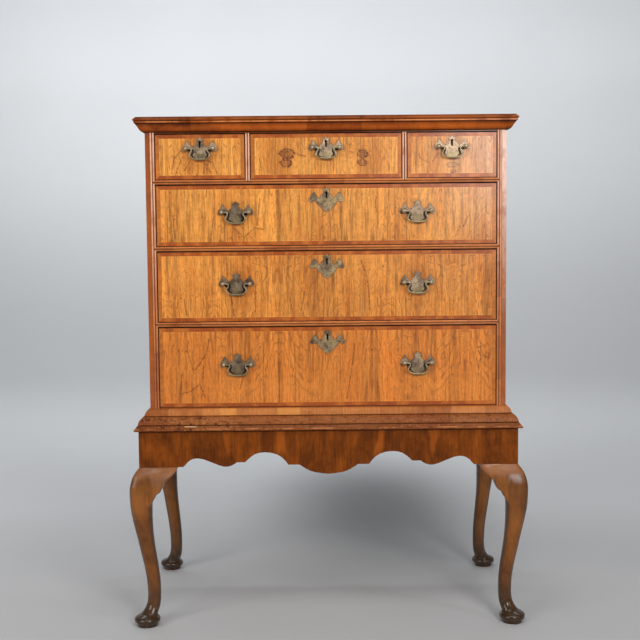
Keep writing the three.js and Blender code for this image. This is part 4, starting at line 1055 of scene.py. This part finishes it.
def brass_finish(name, light, rough_low, rough_high, plate=False, bail=False):
    """Old brass, olive and brown in patches, with a chased surface.

    All of it is painted brighter higher up and further right, where it is lit more. A plate has painted
    shade near its posts and bail and painted glints on its ball heads; a batwing also has the bail's shadow
    painted beside the bail and is olive at its foot. A bail is pale on its edges from wear and darkest at
    its grip.
    """
    f = Finish(name, metallic=0.9)
    place = f.value("ShaderNodeAttribute", {}, "Vector", attribute_name="brass_place")
    across, ahead, up = f.parts(place)
    patches = f.noise(55, 4, 0.6)
    colour = f.mix(patches.rise(0.36, 0.66), "brass_dark", light)
    # Painted light: brighter higher up and further right, where the brass is lit more
    colour = f.shaded(colour, 1 + f.z.rise(1.15, 1.27, 0, 0.45) + f.x.rise(-0.15, 0.15, 0, 0.3))
    colour = f.stained(colour, "brass_olive", f.noise(26, 2).rise(0.56, 0.72, 0, 0.3))
    chased = (f.noise(95, 1, 0.5, 0.8, f.stretched(1, 1, 1.4, place)) * 9).folded(0.5).fall(0, 0.3)
    if bail:
        wear_and_highlight = f.value("ShaderNodeNewGeometry", {}, "Pointiness").rise(0.5, 0.56, 0, 0.5)
        colour = f.stained(colour, "brass_edge", wear_and_highlight)
    else:
        colour = f.stained(colour, "brass_tarnish", chased * 0.6)
        # Painted shade where the posts and bail close in round the plate, and painted glints on the ball
        # heads
        colour = f.stained(colour, "brass_black", f.covered(9 * MM).fall(0.3, 0.85, 0.7))
        colour = f.stained(colour, "brass_edge", ahead.fall(-17 * MM, -9 * MM, 0.5))
    colour = f.stained(colour, "brass_tarnish", f.noise(150, 3, 0.7).rise(0.58, 0.7, 0, 0.55))
    if plate:
        flat = f.vector(abs(across), 0, up)
        colour = f.stained(colour, "brass_olive", f.oval(flat, 0, -18, 17, 9).fall(0.3, 1, 0.5))
        # Painted shadow of the bail on the plate beside it
        pairs = zip(BAIL_SHADOW_PLACES, BAIL_SHADOW_PLACES[1:])
        bail_shadow = greatest(f.near_line(flat, *start, *end, 4.2) for start, end in pairs)
        colour = f.stained(colour, "brass_black", bail_shadow * (ahead > -2.6 * MM) * 0.9)
    if bail:
        colour = f.stained(colour, "brass_olive", up.fall(-24 * MM, -14 * MM, 0.5))
    height = f.noise(330, 2, 0.5, 1.2) + patches - chased * 0.6
    return f.coloured(colour, patches.rise(0.3, 0.7, rough_low, rough_high), height, 0.16 * MM)


def iron_finish():
    """Dark lock iron with a little rust."""
    f = Finish("lock_iron", metallic=0.75)
    rust = f.noise(70, 4, 0.7).rise(0.5, 0.68)
    return f.coloured(f.mix(rust, "iron", "rust"), rust.rise(0, 1, 0.42, 0.75), f.noise(260), 0.1 * MM)


def floor_finish():
    """Matt studio paper with painted light and shade: darker near the front, towards the right and far to
    the sides, with a painted shadow behind the stand.
    """
    f = Finish("studio_paper", roughness=0.9, specular=0.2)
    shade = f.noise(0.9, 2).rise(0.3, 0.7, 0.97, 1)
    shade *= f.y.rise(0.2, 1.1, 0.81, 1) * f.x.rise(-1.6, 1.6, 1.04, 0.93)
    # Painted shadow of the stand on the floor and wall behind it
    shade *= f.distance(f.stretched(2, 1, 1.7), (0.4, 1, 0.1)).rise(0.1, 1.25, 0.38, 1)
    # Painted light on the wall: darkest just above the floor and brightest at head height
    shade *= f.z.rise(0.3, 1.9, 0.82, 1.2) * f.z.rise(2.1, 2.9, 1, 0.8) * f.z.rise(0.02, 0.25, 1.22, 1)
    shade *= abs(f.x).rise(2.6, 5.5, 1, 0.7)
    f.feed("Base Color", f.shaded("floor", shade))
    return f.material


# Sizes and colours that may be changed
def colour_property(name, description, red, green, blue):
    """A colour setting given in parts of 255."""
    return bpy.props.FloatVectorProperty(name=name, description=description, subtype="COLOR", size=3,
                                         min=0.0, max=1.0, default=tone(red, green, blue))


def length_property(name, description, millimetres):
    """A length setting given in millimetres."""
    return bpy.props.FloatProperty(name=name, description=description, default=millimetres * MM,
                                   min=0.0, unit="LENGTH", subtype="DISTANCE", precision=5)


class HighboySizes(bpy.types.PropertyGroup):
    """Sizes of the fine pieces."""

    crossband: length_property("Crossband", "Width of the band round each drawer front", 10.5)
    arris: length_property("Arris", "Softness of the sharp wooden edges", 0.6)
    carving: length_property("Carving", "Grid that the carved legs are smoothed on", 2.0)
    plate_edge: length_property("Plate edge", "Rounding of the brass plates' edges", 0.35)
    moulding_steps: bpy.props.IntProperty(
        name="Moulding steps", description="Points between two places of a moulding's outline",
        default=4, min=1, max=12)
    turning_steps: bpy.props.IntProperty(
        name="Turning steps", description="Faces round a turned post", default=28, min=8, max=64)


class HighboyColours(bpy.types.PropertyGroup):
    """Colours of the finishes."""

    field_gold: colour_property("Field gold", "Palest veneer of the drawer fronts", 238, 165, 76)
    field_orange: colour_property("Field orange", "Middle tone of the drawer fronts", 214, 136, 54)
    field_red: colour_property("Field red", "Warm tone of the lower drawer fronts", 198, 108, 36)
    figure_line: colour_property("Figure line", "Dark lines in the veneer", 116, 56, 14)
    # Also used for the painted shadow under each handle's grip
    knot: colour_property("Knot", "Knots in the veneer", 84, 30, 12)
    crossband: colour_property("Crossband", "Darker crossband", 164, 78, 22)
    crossband_light: colour_property("Crossband light", "Lighter crossband", 192, 104, 34)
    stile: colour_property("Stile", "Darker band of the case sides", 140, 68, 22)
    stile_light: colour_property("Stile light", "Lighter band of the case sides", 176, 94, 36)
    # Painted sheen of the key light on the upper right of the case
    faded: colour_property("Faded", "Varnish faded at the upper right of the case", 228, 184, 158)
    # Used for painted highlights on fillets, the waist lip and rail beads, and for pale flecks of wear
    bead: colour_property("Rubbed edge", "Edges rubbed pale", 222, 146, 88)
    # Painted highlights on the crests of the upright beads
    bead_pale: colour_property("Rubbed upright bead", "Crests of the upright beads", 232, 176, 144)
    bead_light: colour_property("Bead light", "Paler lengths of the beads", 196, 114, 52)
    bead_dark: colour_property("Bead dark", "Darker lengths of the beads", 152, 74, 28)
    cornice: colour_property("Cornice", "Darker lengths of the cornice", 124, 54, 12)
    cornice_light: colour_property("Cornice light", "Paler lengths of the cornice", 184, 92, 28)
    waist: colour_property("Waist", "Darker lengths of the waist moulding", 150, 82, 36)
    waist_light: colour_property("Waist light", "Paler lengths of the waist moulding", 200, 126, 66)
    waist_low: colour_property("Waist low", "Lower part of the waist moulding", 112, 54, 16)
    chip: colour_property("Chip", "Bare wood in a chip", 226, 190, 140)
    side: colour_property("Side", "Darker walnut of the case sides", 122, 62, 32)
    side_light: colour_property("Side light", "Paler walnut of the case sides", 158, 88, 46)
    apron: colour_property("Apron", "Darkest apron veneer", 86, 40, 4)
    apron_light: colour_property("Apron light", "Paler apron veneer", 140, 70, 12)
    tongue: colour_property("Tongue", "Light tongues in the apron veneer", 172, 88, 22)
    leg: colour_property("Leg", "Darker walnut of the legs", 104, 58, 14)
    leg_light: colour_property("Leg light", "Paler walnut of the legs", 146, 86, 24)
    # Also used for the painted highlight across the top of the knees
    bracket: colour_property("Bracket", "Walnut of the knee brackets", 162, 106, 68)
    # Also used for the painted shade on the legs' sideways faces
    foot: colour_property("Foot", "Dark feet and ankles", 60, 44, 30)
    foot_worn: colour_property("Worn foot", "Grey scuffs on the feet", 126, 106, 88)
    oak: colour_property("Oak", "Darker oak", 134, 98, 60)
    oak_light: colour_property("Oak light", "Paler oak", 176, 136, 90)
    # Used for real dirt and joints, and for painted shade in recesses, gaps and under the waist moulding
    grime: colour_property("Grime", "Dirt in the hollows", 40, 10, 2)
    # Painted shade seen through the keyholes
    keyhole: colour_property("Keyhole", "Inside of the keyholes", 6, 4, 3)
    brass_light: colour_property("Brass light", "Paler brass of the plates", 164, 144, 118)
    brass_dark: colour_property("Brass dark", "Darker brass of the plates", 116, 98, 82)
    brass_olive: colour_property("Brass olive", "Olive patches on the plates", 134, 126, 78)
    key_brass_light: colour_property("Key plate light", "Paler brass of the key plates", 172, 150, 110)
    # Used for wear on the bails' edges and for painted glints on the ball heads
    brass_edge: colour_property("Brass edge", "Brass rubbed bright", 206, 194, 158)
    bail_light: colour_property("Bail light", "Paler brass of the bails", 134, 120, 88)
    brass_tarnish: colour_property("Brass tarnish", "Brown tarnish", 62, 48, 36)
    # Painted shade and the painted shadow of the bail on the plates
    brass_black: colour_property("Brass black", "Black dirt beside the bails", 30, 22, 16)
    iron: colour_property("Iron", "Lock iron", 70, 66, 62)
    rust: colour_property("Rust", "Rust on the locks", 92, 56, 36)
    floor: colour_property("Floor", "Studio paper", 222, 222, 223)


# Pieces
class HIGHBOY_OT_drawer_fronts(bpy.types.Operator):
    """Veneer and crossband the six drawer fronts."""

    bl_idname = "highboy.drawer_fronts"
    bl_label = "Drawer fronts"

    def execute(self, context):
        sizes = context.scene.highboy_sizes
        for drawer in VENEER:
            dressed(f"drawer_front_{drawer}", f"veneered_front_{drawer}", f"drawer_{drawer}",
                    veneer_finish(drawer, sizes.crossband), sizes.arris)
        return {"FINISHED"}


class HIGHBOY_OT_drawer_boxes(bpy.types.Operator):
    """Dress the oak drawer boxes and their locks."""

    bl_idname = "highboy.drawer_boxes"
    bl_label = "Drawer boxes and locks"

    def execute(self, context):
        iron = iron_finish()
        for drawer in VENEER:
            low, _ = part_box(f"drawer_box_{drawer}")
            dressed(f"drawer_box_{drawer}", f"oak_box_{drawer}", f"drawer_{drawer}",
                    oak_finish(f"drawer_oak_{drawer}", False, dovetails=low.z),
                    context.scene.highboy_sizes.arris)
            dressed(f"lock_{drawer}", f"iron_lock_{drawer}", f"drawer_{drawer}", iron, 0.3 * MM)
        return {"FINISHED"}


class HIGHBOY_OT_case(bpy.types.Operator):
    """Dress the case: sides, top, bottom, back, rails and dividers."""

    bl_idname = "highboy.case"
    bl_label = "Case"

    def execute(self, context):
        for side, seed in (("left", 2.3), ("right", 6.1)):
            dressed(f"case_side_{side}", f"beaded_side_{side}", "carcase",
                    side_finish(f"side_veneer_{side}", seed), angle=40)
            dressed(f"divider_{side}", f"beaded_divider_{side}", "carcase",
                    bead_finish(f"divider_walnut_{side}", True, seed + 11), angle=40)
        for place, seed in (("upper", 1.4), ("middle", 5.2), ("lower", 7.7)):
            low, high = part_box(f"rail_{place}")
            dressed(f"rail_{place}", f"beaded_rail_{place}", "carcase",
                    bead_finish(f"rail_walnut_{place}", False, seed, (low.z + high.z) / 2), angle=40)
        plain = (
            ("case_top", "top_board", "side_veneer", oak_finish("top_walnut", True)),
            ("top_rail", "front_top_rail", "moulding_walnut", bead_finish("top_rail_walnut", False, 3.9)),
            ("case_bottom", "bottom_board", "carcase_oak", oak_finish("bottom_oak", True, faced=True)),
            ("case_back", "back_boards", "carcase_oak", oak_finish("back_oak", True, BACK_JOINTS)),
            ("stand_back_rail", "stand_rear_rail", "carcase_oak", oak_finish("rear_rail_oak", True)),
        )
        for node, name, slot, finish in plain:
            dressed(node, name, "carcase", finish, context.scene.highboy_sizes.arris)
        return {"FINISHED"}


def moulding(name, node, finish, shares, corners, projection, head, foot):
    """Carries a moulding round the front and both sides of the case, with mitred corners."""
    steps = bpy.context.scene.highboy_sizes.moulding_steps
    height = head - foot
    face = [(out * projection, head - down * height) for out, down in smooth_through(shares, corners, steps)]
    profile = [(SEAT_GAP, head), *face, (SEAT_GAP, head - height)]
    stations = ((-1, CASE_BACK, 0), (-1, CASE_FRONT, -1), (1, CASE_FRONT, -1), (1, CASE_BACK, 0))
    rings = [[(side * (CASE_HALF + out), y + step * out, z) for out, z in profile]
             for side, y, step in stations]
    completed(drawn(name, rings), name, "carcase", finish, (node,), 30)


class HIGHBOY_OT_mouldings(bpy.types.Operator):
    """Run the cornice and the waist moulding round the case."""

    bl_idname = "highboy.mouldings"
    bl_label = "Cornice and waist moulding"

    def execute(self, context):
        moulding("run_cornice", "cornice", cornice_finish(), CORNICE_SHARES, CORNICE_CORNERS,
                 CORNICE_PROJECTION, CASE_HEAD, CORNICE_FOOT)
        moulding("run_waist", "waist_moulding", waist_finish(), WAIST_SHARES, WAIST_CORNERS,
                 WAIST_PROJECTION, WAIST_HEAD, WAIST_FOOT)
        return {"FINISHED"}


class HIGHBOY_OT_aprons(bpy.types.Operator):
    """Veneer the shaped aprons of the stand."""

    bl_idname = "highboy.aprons"
    bl_label = "Aprons"

    def execute(self, context):
        for place, seed in (("front", 1.7), ("left", 4.4), ("right", 8.8)):
            dressed(f"apron_{place}", f"veneered_apron_{place}", "carcase",
                    apron_finish(f"apron_veneer_{place}", seed, place == "front"),
                    context.scene.highboy_sizes.arris, 36, 40)
        return {"FINISHED"}


def leg_ring(height, outward, inward, squareness, count=32):
    """One level of a leg, centred on its foot, with the outward directions positive."""
    middle, half = (outward - inward) / 2, (outward + inward) / 2
    ring = []
    for i in range(count):
        turn = 2 * math.pi * i / count
        c, s = math.cos(turn), math.sin(turn)
        ring.append((middle + half * math.copysign(abs(c) ** (2 / squareness), c),
                     middle + half * math.copysign(abs(s) ** (2 / squareness), s), height))
    return ring


def leg_levels():
    """Levels of the leg from just under the floor to just over its top."""
    rows = [(up * FOOT_HEIGHT, out * PAD_RADIUS, inn * PAD_RADIUS, n) for up, out, inn, n in FOOT_SHARES]
    rows += [(FOOT_HEIGHT + up * SHANK_HEIGHT, min(out * PAD_RADIUS, KNEE_REACH), inn * PAD_RADIUS, n)
             for up, out, inn, n in SHANK_SHARES]
    rows.append((KNEE_TOP, FOOT_IN, KNEE_REACH, 8))
    levels = [rows[0]]
    for i in range(len(rows) - 1):
        before, start = rows[max(i - 1, 0)], rows[i]
        end, after = rows[i + 1], rows[min(i + 2, len(rows) - 1)]
        for step in (1, 2, 3):
            t = step / 3
            levels.append(tuple(
                0.5 * (2 * b + (c - a) * t + (2 * a - 5 * b + 4 * c - d) * t ** 2
                       + (3 * b - a - 3 * c + d) * t ** 3)
                for a, b, c, d in zip(before, start, end, after)))
    low, high = levels[0], levels[-1]
    return [(low[0] - 6 * MM, *low[1:]), *levels, (high[0] + CUT_AWAY, *high[1:])]


def knee_swell(down):
    """How far the knee stands out at a distance below the apron."""
    share = max(0.0, down) / BRACKET_DROP
    for (d0, s0), (d1, s1) in zip(SWELL_SHARES, SWELL_SHARES[1:]):
        if share <= d1:
            return PAD_RADIUS * (s0 + (s1 - s0) * (share - d0) / (d1 - d0))
    return PAD_RADIUS * SWELL_SHARES[-1][1]


def knee_bracket(name, along_x):
    """A bracket from its tip to the middle of the knee, with the outward directions positive."""
    nearest = BRACKET_SHARES[-1][0]
    inside, top = FOOT_IN - BRACKET_THICKNESS, KNEE_TOP + CUT_AWAY
    rings = []
    for reach, drop in smooth_through(BRACKET_SHARES, (5,), 3):
        along = FOOT_IN - reach * BRACKET_REACH
        fade = max(0.0, 1 - (reach - nearest) / (1 - nearest)) ** 0.6
        depth = drop * BRACKET_DROP
        downs = [depth * i / 10 for i in range(11)]
        ring = [(FOOT_IN, top), *((FOOT_IN + knee_swell(down) * fade, KNEE_TOP - down) for down in downs),
                (inside, KNEE_TOP - depth), (inside, top)]
        rings.append([(along, across, z) if along_x else (across, along, z) for across, z in ring])
    return drawn(name, rings)


def carved_leg(name, rear, grid):
    """A leg with its brackets worked into one carved surface, cut off at the floor and the apron."""
    pieces = [drawn(name, [leg_ring(*level) for level in leg_levels()])]
    pieces.append(knee_bracket("bracket_lengthwise", False))
    if not rear:
        pieces.append(knee_bracket("bracket_across", True))
    leg = joined(name, *pieces)
    shaped_by(leg, "REMESH", mode="VOXEL", voxel_size=grid)
    softness = leg.vertex_groups.new(name="softness")
    for vertex in leg.data.vertices:
        share = min(1.0, max(0.0, (vertex.co.z - 60 * MM) / (200 * MM)))
        softness.add((vertex.index,), 0.2 + 0.8 * share, "REPLACE")
    shaped_by(leg, "SMOOTH", factor=0.5, iterations=12, vertex_group="softness")
    for height, above in ((KNEE_TOP, True), (0.0, False)):
        opened(leg)
        bpy.ops.mesh.bisect(plane_co=(0, 0, height), plane_no=(0, 0, 1), use_fill=True,
                            clear_outer=above, clear_inner=not above)
        bpy.ops.object.mode_set(mode="OBJECT")
    return leg


def leg_post(name, rear):
    """The square post that runs up behind the apron."""
    x, y = FOOT_IN - APRON_FACING, FOOT_IN - (0 if rear else APRON_FACING)
    corners = ((x - POST_SIDE, y - POST_SIDE), (x, y - POST_SIDE), (x, y), (x - POST_SIDE, y))
    post = drawn(name, [[(*corner, z) for corner in corners] for z in (KNEE_TOP + 0.02 * MM, STAND_TOP)])
    softened(post, 0.8 * MM)
    return post


class HIGHBOY_OT_legs(bpy.types.Operator):
    """Carve the four cabriole legs with their knee brackets and pad feet."""

    bl_idname = "highboy.legs"
    bl_label = "Cabriole legs"

    def execute(self, context):
        finish = leg_finish()
        for end_name, end in (("front", -1), ("rear", 1)):
            rear = end > 0
            model = joined("leg_model", carved_leg("leg_model", rear, context.scene.highboy_sizes.carving),
                           leg_post("leg_post", rear))
            for side_name, side in (("left", -1), ("right", 1)):
                piece = copied(model)
                piece.scale = (side, end, 1)
                seated(piece, (side * (STAND_HALF - FOOT_IN), end * (STAND_BACK - FOOT_IN), 0))
                faced_outward(piece)
                name = f"{end_name}_{side_name}"
                completed(piece, f"cabriole_{name}", "carcase", finish,
                          (f"leg_{name}",), 45, False)
            bpy.data.objects.remove(model)
        return {"FINISHED"}


def brass_sheet(name, shares, cusps, sizes, keyhole_rise):
    """A flat plate with a rounded edge, pierced for the key where the rise is given."""
    half_width, half_height, thickness = sizes
    edge = bpy.context.scene.highboy_sizes.plate_edge
    curve = bpy.data.curves.new(name, "CURVE")
    curve.dimensions = "2D"
    curve.fill_mode = "BOTH"
    curve.extrude = thickness / 2 - edge
    curve.bevel_depth = edge
    curve.bevel_resolution = 2
    curve.resolution_u = 5
    half = [(u * (half_width - edge), v * (half_height - edge), i in cusps)
            for i, (u, v) in enumerate(shares)]
    outline = half + [(-x, y, cusp) for x, y, cusp in reversed(half) if x != 0]
    through(curve, [((x, y, 0), 1, cusp) for x, y, cusp in outline], closed=True)
    if keyhole_rise is not None:
        radius, slot = KEYHOLE_RADIUS + edge, KEYHOLE_SLOT + edge
        lean = math.asin(slot / radius)
        turns = (lean - math.pi / 2 + 2 * (math.pi - lean) * i / 16 for i in range(17))
        foot = keyhole_rise + KEYHOLE_RADIUS - KEYHOLE_HEIGHT - edge
        places = [(radius * math.cos(turn), keyhole_rise + radius * math.sin(turn)) for turn in turns]
        places += [(-slot, foot), (slot, foot)]
        hole = curve.splines.new("POLY")
        hole.points.add(len(places) - 1)
        hole.use_cyclic_u = True
        for point, (x, y) in zip(hole.points, places):
            point.co = (x, y, 0, 1)
    plate = solid_of(name, curve)
    plate.rotation_euler = (math.pi / 2, 0, 0)
    seated(plate, (0, -SEAT_GAP - thickness / 2, 0))
    faced_outward(plate)
    return plate


def bolt_post(name, steps):
    """A turned post: ball head, ringed neck and collar in front, bolt and square nut behind."""
    head = [(BALL_RADIUS * math.cos(a), PIVOT_AHEAD + BALL_RADIUS * math.sin(a))
            for a in (math.radians(d) for d in range(-56, 90, 12))]
    outline = [*((radius * MM, ahead * MM) for radius, ahead in POST_PROFILE), *head,
               (0, PIVOT_AHEAD + BALL_RADIUS)]
    post = turned(name, outline, steps)
    turns = [math.radians(45 + 90 * i) for i in range(4)]
    nut = drawn("nut", [[(6 * MM * math.cos(turn), y, 6 * MM * math.sin(turn)) for turn in turns]
                        for y in (20.3 * MM, 24.2 * MM)])
    softened(nut, 0.5 * MM)
    return joined(name, post, nut)


class HIGHBOY_OT_backplates(bpy.types.Operator):
    """Cut the batwing backplates with their posts, and the escutcheons."""

    bl_idname = "highboy.backplates"
    bl_label = "Backplates and escutcheons"

    def execute(self, context):
        brass = brass_finish("aged_brass_plate", "brass_light", 0.34, 0.52, plate=True)
        key_brass = brass_finish("aged_brass_key_plate", "key_brass_light", 0.36, 0.55)
        model_post = bolt_post("post_model", context.scene.highboy_sizes.turning_steps)
        pin = [(PIN_RADIUS * math.cos(turn) - PIVOT_AHEAD, PIN_RADIUS * math.sin(turn))
               for turn in (math.radians(20 * i) for i in range(18))]
        hole = drawn("pin_hole", [[(x, *place) for place in pin] for x in (-PIN_HOLE_END, PIN_HOLE_END)])
        for name, (body, across, pivot) in HANDLES.items():
            rise = HANDLE_KEYHOLE_RISE if name.startswith("short") else None
            parts = [brass_sheet("batwing", BATWING_SHARES, BATWING_CUSPS, BATWING_SIZES, rise)]
            for side in (-1, 1):
                post = copied(model_post)
                seated(post, (side * PIVOT_SIDE, 0, 0))
                shaped_by(post, "BOOLEAN", operation="DIFFERENCE", object=hole, solver="EXACT")
                parts.append(post)
            piece = joined("batwing", *parts)
            marked(piece)
            seated(piece, (across * MM, CASE_FRONT, pivot * MM))
            completed(piece, f"batwing_{name}", body, brass, (f"handle_plate_{name}",), 35)
        for name, (body, middle) in ESCUTCHEONS.items():
            piece = brass_sheet("escutcheon", ESCUTCHEON_SHARES, ESCUTCHEON_CUSPS, ESCUTCHEON_SIZES,
                                ESCUTCHEON_KEYHOLE_RISE)
            marked(piece)
            seated(piece, (0, CASE_FRONT, middle * MM))
            completed(piece, f"key_plate_{name}", body, key_brass, (f"escutcheon_{name}",), 35)
        for model in (model_post, hole):
            bpy.data.objects.remove(model)
        return {"FINISHED"}


class HIGHBOY_OT_bails(bpy.types.Operator):
    """Bend the nine swinging bails."""

    bl_idname = "highboy.bails"
    bl_label = "Bails"

    def execute(self, context):
        brass = brass_finish("aged_brass_bail", "bail_light", 0.24, 0.4, bail=True)
        # The two ends lie straight in their posts, and the wire is thickest at the grip
        half = [(PIVOT_SIDE, 0.0, 1.8, True), (30 * MM, 0.0, 1.8, True)]
        half += [(u * BAIL_HALF, -v * BAIL_DROP, 1.7 + 0.7 * max(0.0, (v - 0.5) / 0.5), False)
                 for u, v in BAIL_SHARES]
        route = half + [(-x, *rest) for x, *rest in reversed(half[:-1])]
        curve = bpy.data.curves.new("bail_model", "CURVE")
        curve.dimensions = "3D"
        curve.bevel_depth = MM
        curve.bevel_resolution = 4
        curve.resolution_u = 6
        curve.use_fill_caps = True
        through(curve, [((x, -PIVOT_AHEAD, z), thickness, straight) for x, z, thickness, straight in route])
        model = solid_of("bail_model", curve)
        faced_outward(model)
        marked(model)
        for name, (_, across, pivot) in HANDLES.items():
            piece = copied(model)
            seated(piece, (across * MM, CASE_FRONT, pivot * MM))
            completed(piece, f"bent_bail_{name}", f"bail_{name}", brass,
                      (f"bail_{name}",), 60, False)
        bpy.data.objects.remove(model)
        return {"FINISHED"}


def soft_light(name, place, aim, width, height, power, colour):
    """A rectangular studio light facing a point."""
    light = bpy.data.lights.new(name, "AREA")
    light.shape = "RECTANGLE"
    light.size, light.size_y, light.energy, light.color = width, height, power, colour
    holder = bpy.data.objects.new(name, light)
    bpy.context.scene.collection.objects.link(holder)
    holder.location = place
    holder.rotation_euler = (Vector(aim) - Vector(place)).to_track_quat("-Z", "Y").to_euler()


class HIGHBOY_OT_stage(bpy.types.Operator):
    """Set up the floor, the lights and the camera."""

    bl_idname = "highboy.stage"
    bl_label = "Stage"

    def execute(self, context):
        scene = context.scene
        deselect()
        bpy.ops.mesh.primitive_plane_add(size=12, location=(0, 0, 0))
        floor = context.active_object
        floor.name = "studio_floor"
        # The floor's far edge is brought nearer and drawn up into a wall
        bpy.ops.object.mode_set(mode="EDIT")
        mesh = bmesh.from_edit_mesh(floor.data)
        for edge in mesh.edges:
            edge.select_set(all(v.co.y > 5 for v in edge.verts))
        mesh.select_flush(True)
        bmesh.update_edit_mesh(floor.data)
        bpy.ops.transform.translate(value=(0, -1.8, 0))
        bpy.ops.mesh.extrude_region_move(TRANSFORM_OT_translate={"value": (0, 0.4, 6)})
        bpy.ops.object.mode_set(mode="OBJECT")
        seated(floor)
        shaped_by(floor, "BEVEL", width=2.0, segments=20, limit_method="ANGLE",
                  angle_limit=math.radians(30))
        pick(floor)
        bpy.ops.object.shade_smooth()
        floor.data.materials.append(floor_finish())

        for name, light in LIGHTS.items():
            soft_light(name, *light)
        world = bpy.data.worlds.new("studio")
        world.use_nodes = True
        background = world.node_tree.nodes["Background"]
        background.inputs[0].default_value = (0.8, 0.82, 0.86, 1)
        background.inputs[1].default_value = 0.12
        scene.world = world
        scene.view_settings.view_transform = "Standard"

        right = Vector((math.cos(PAN), math.sin(PAN), 0))
        level = Vector((-math.sin(PAN), math.cos(PAN), 0))
        ahead = math.cos(TILT) * level - math.sin(TILT) * Vector((0, 0, 1))
        up = math.sin(TILT) * level + math.cos(TILT) * Vector((0, 0, 1))
        rolled_right = math.cos(ROLL) * right + math.sin(ROLL) * up
        rolled_up = -math.sin(ROLL) * right + math.cos(ROLL) * up
        lens = bpy.data.cameras.new("camera")
        lens.sensor_width = FILM_WIDTH
        lens.lens = FOCAL_LENGTH
        lens.shift_y = PICTURE_SHARE
        camera = bpy.data.objects.new("camera", lens)
        scene.collection.objects.link(camera)
        turn = Matrix((rolled_right, rolled_up, -ahead)).transposed()
        camera.matrix_world = Matrix.Translation(CAMERA_PLACE) @ turn.to_4x4()
        scene.camera = camera
        return {"FINISHED"}


class HIGHBOY_PT_panel(bpy.types.Panel):
    """Lists the pieces of the highboy with their sizes and colours."""

    bl_idname = "HIGHBOY_PT_panel"
    bl_label = "Walnut highboy"
    bl_space_type = "VIEW_3D"
    bl_region_type = "UI"
    bl_category = "Highboy"

    def draw(self, context):
        layout = self.layout
        for settings in (context.scene.highboy_sizes, context.scene.highboy_colours):
            column = layout.column()
            for name in settings.__annotations__:
                column.prop(settings, name)
        for operator in OPERATORS:
            layout.operator(operator.bl_idname)


OPERATORS = (
    HIGHBOY_OT_stage,
    HIGHBOY_OT_drawer_fronts,
    HIGHBOY_OT_drawer_boxes,
    HIGHBOY_OT_case,
    HIGHBOY_OT_mouldings,
    HIGHBOY_OT_aprons,
    HIGHBOY_OT_legs,
    HIGHBOY_OT_backplates,
    HIGHBOY_OT_bails,
)


def register():
    for kind in (HighboySizes, HighboyColours, *OPERATORS, HIGHBOY_PT_panel):
        bpy.utils.register_class(kind)
    bpy.types.Scene.highboy_sizes = bpy.props.PointerProperty(type=HighboySizes)
    bpy.types.Scene.highboy_colours = bpy.props.PointerProperty(type=HighboyColours)


def unregister():
    del bpy.types.Scene.highboy_sizes
    del bpy.types.Scene.highboy_colours
    for kind in reversed((HighboySizes, HighboyColours, *OPERATORS, HIGHBOY_PT_panel)):
        bpy.utils.unregister_class(kind)


def main():
    """Builds every piece in order."""
    register()
    bpy.ops.highboy.stage()
    bpy.ops.highboy.drawer_fronts()
    bpy.ops.highboy.drawer_boxes()
    bpy.ops.highboy.case()
    bpy.ops.highboy.mouldings()
    bpy.ops.highboy.aprons()
    bpy.ops.highboy.legs()
    bpy.ops.highboy.backplates()
    bpy.ops.highboy.bails()
    deselect()


if __name__ == "__main__":
    main()
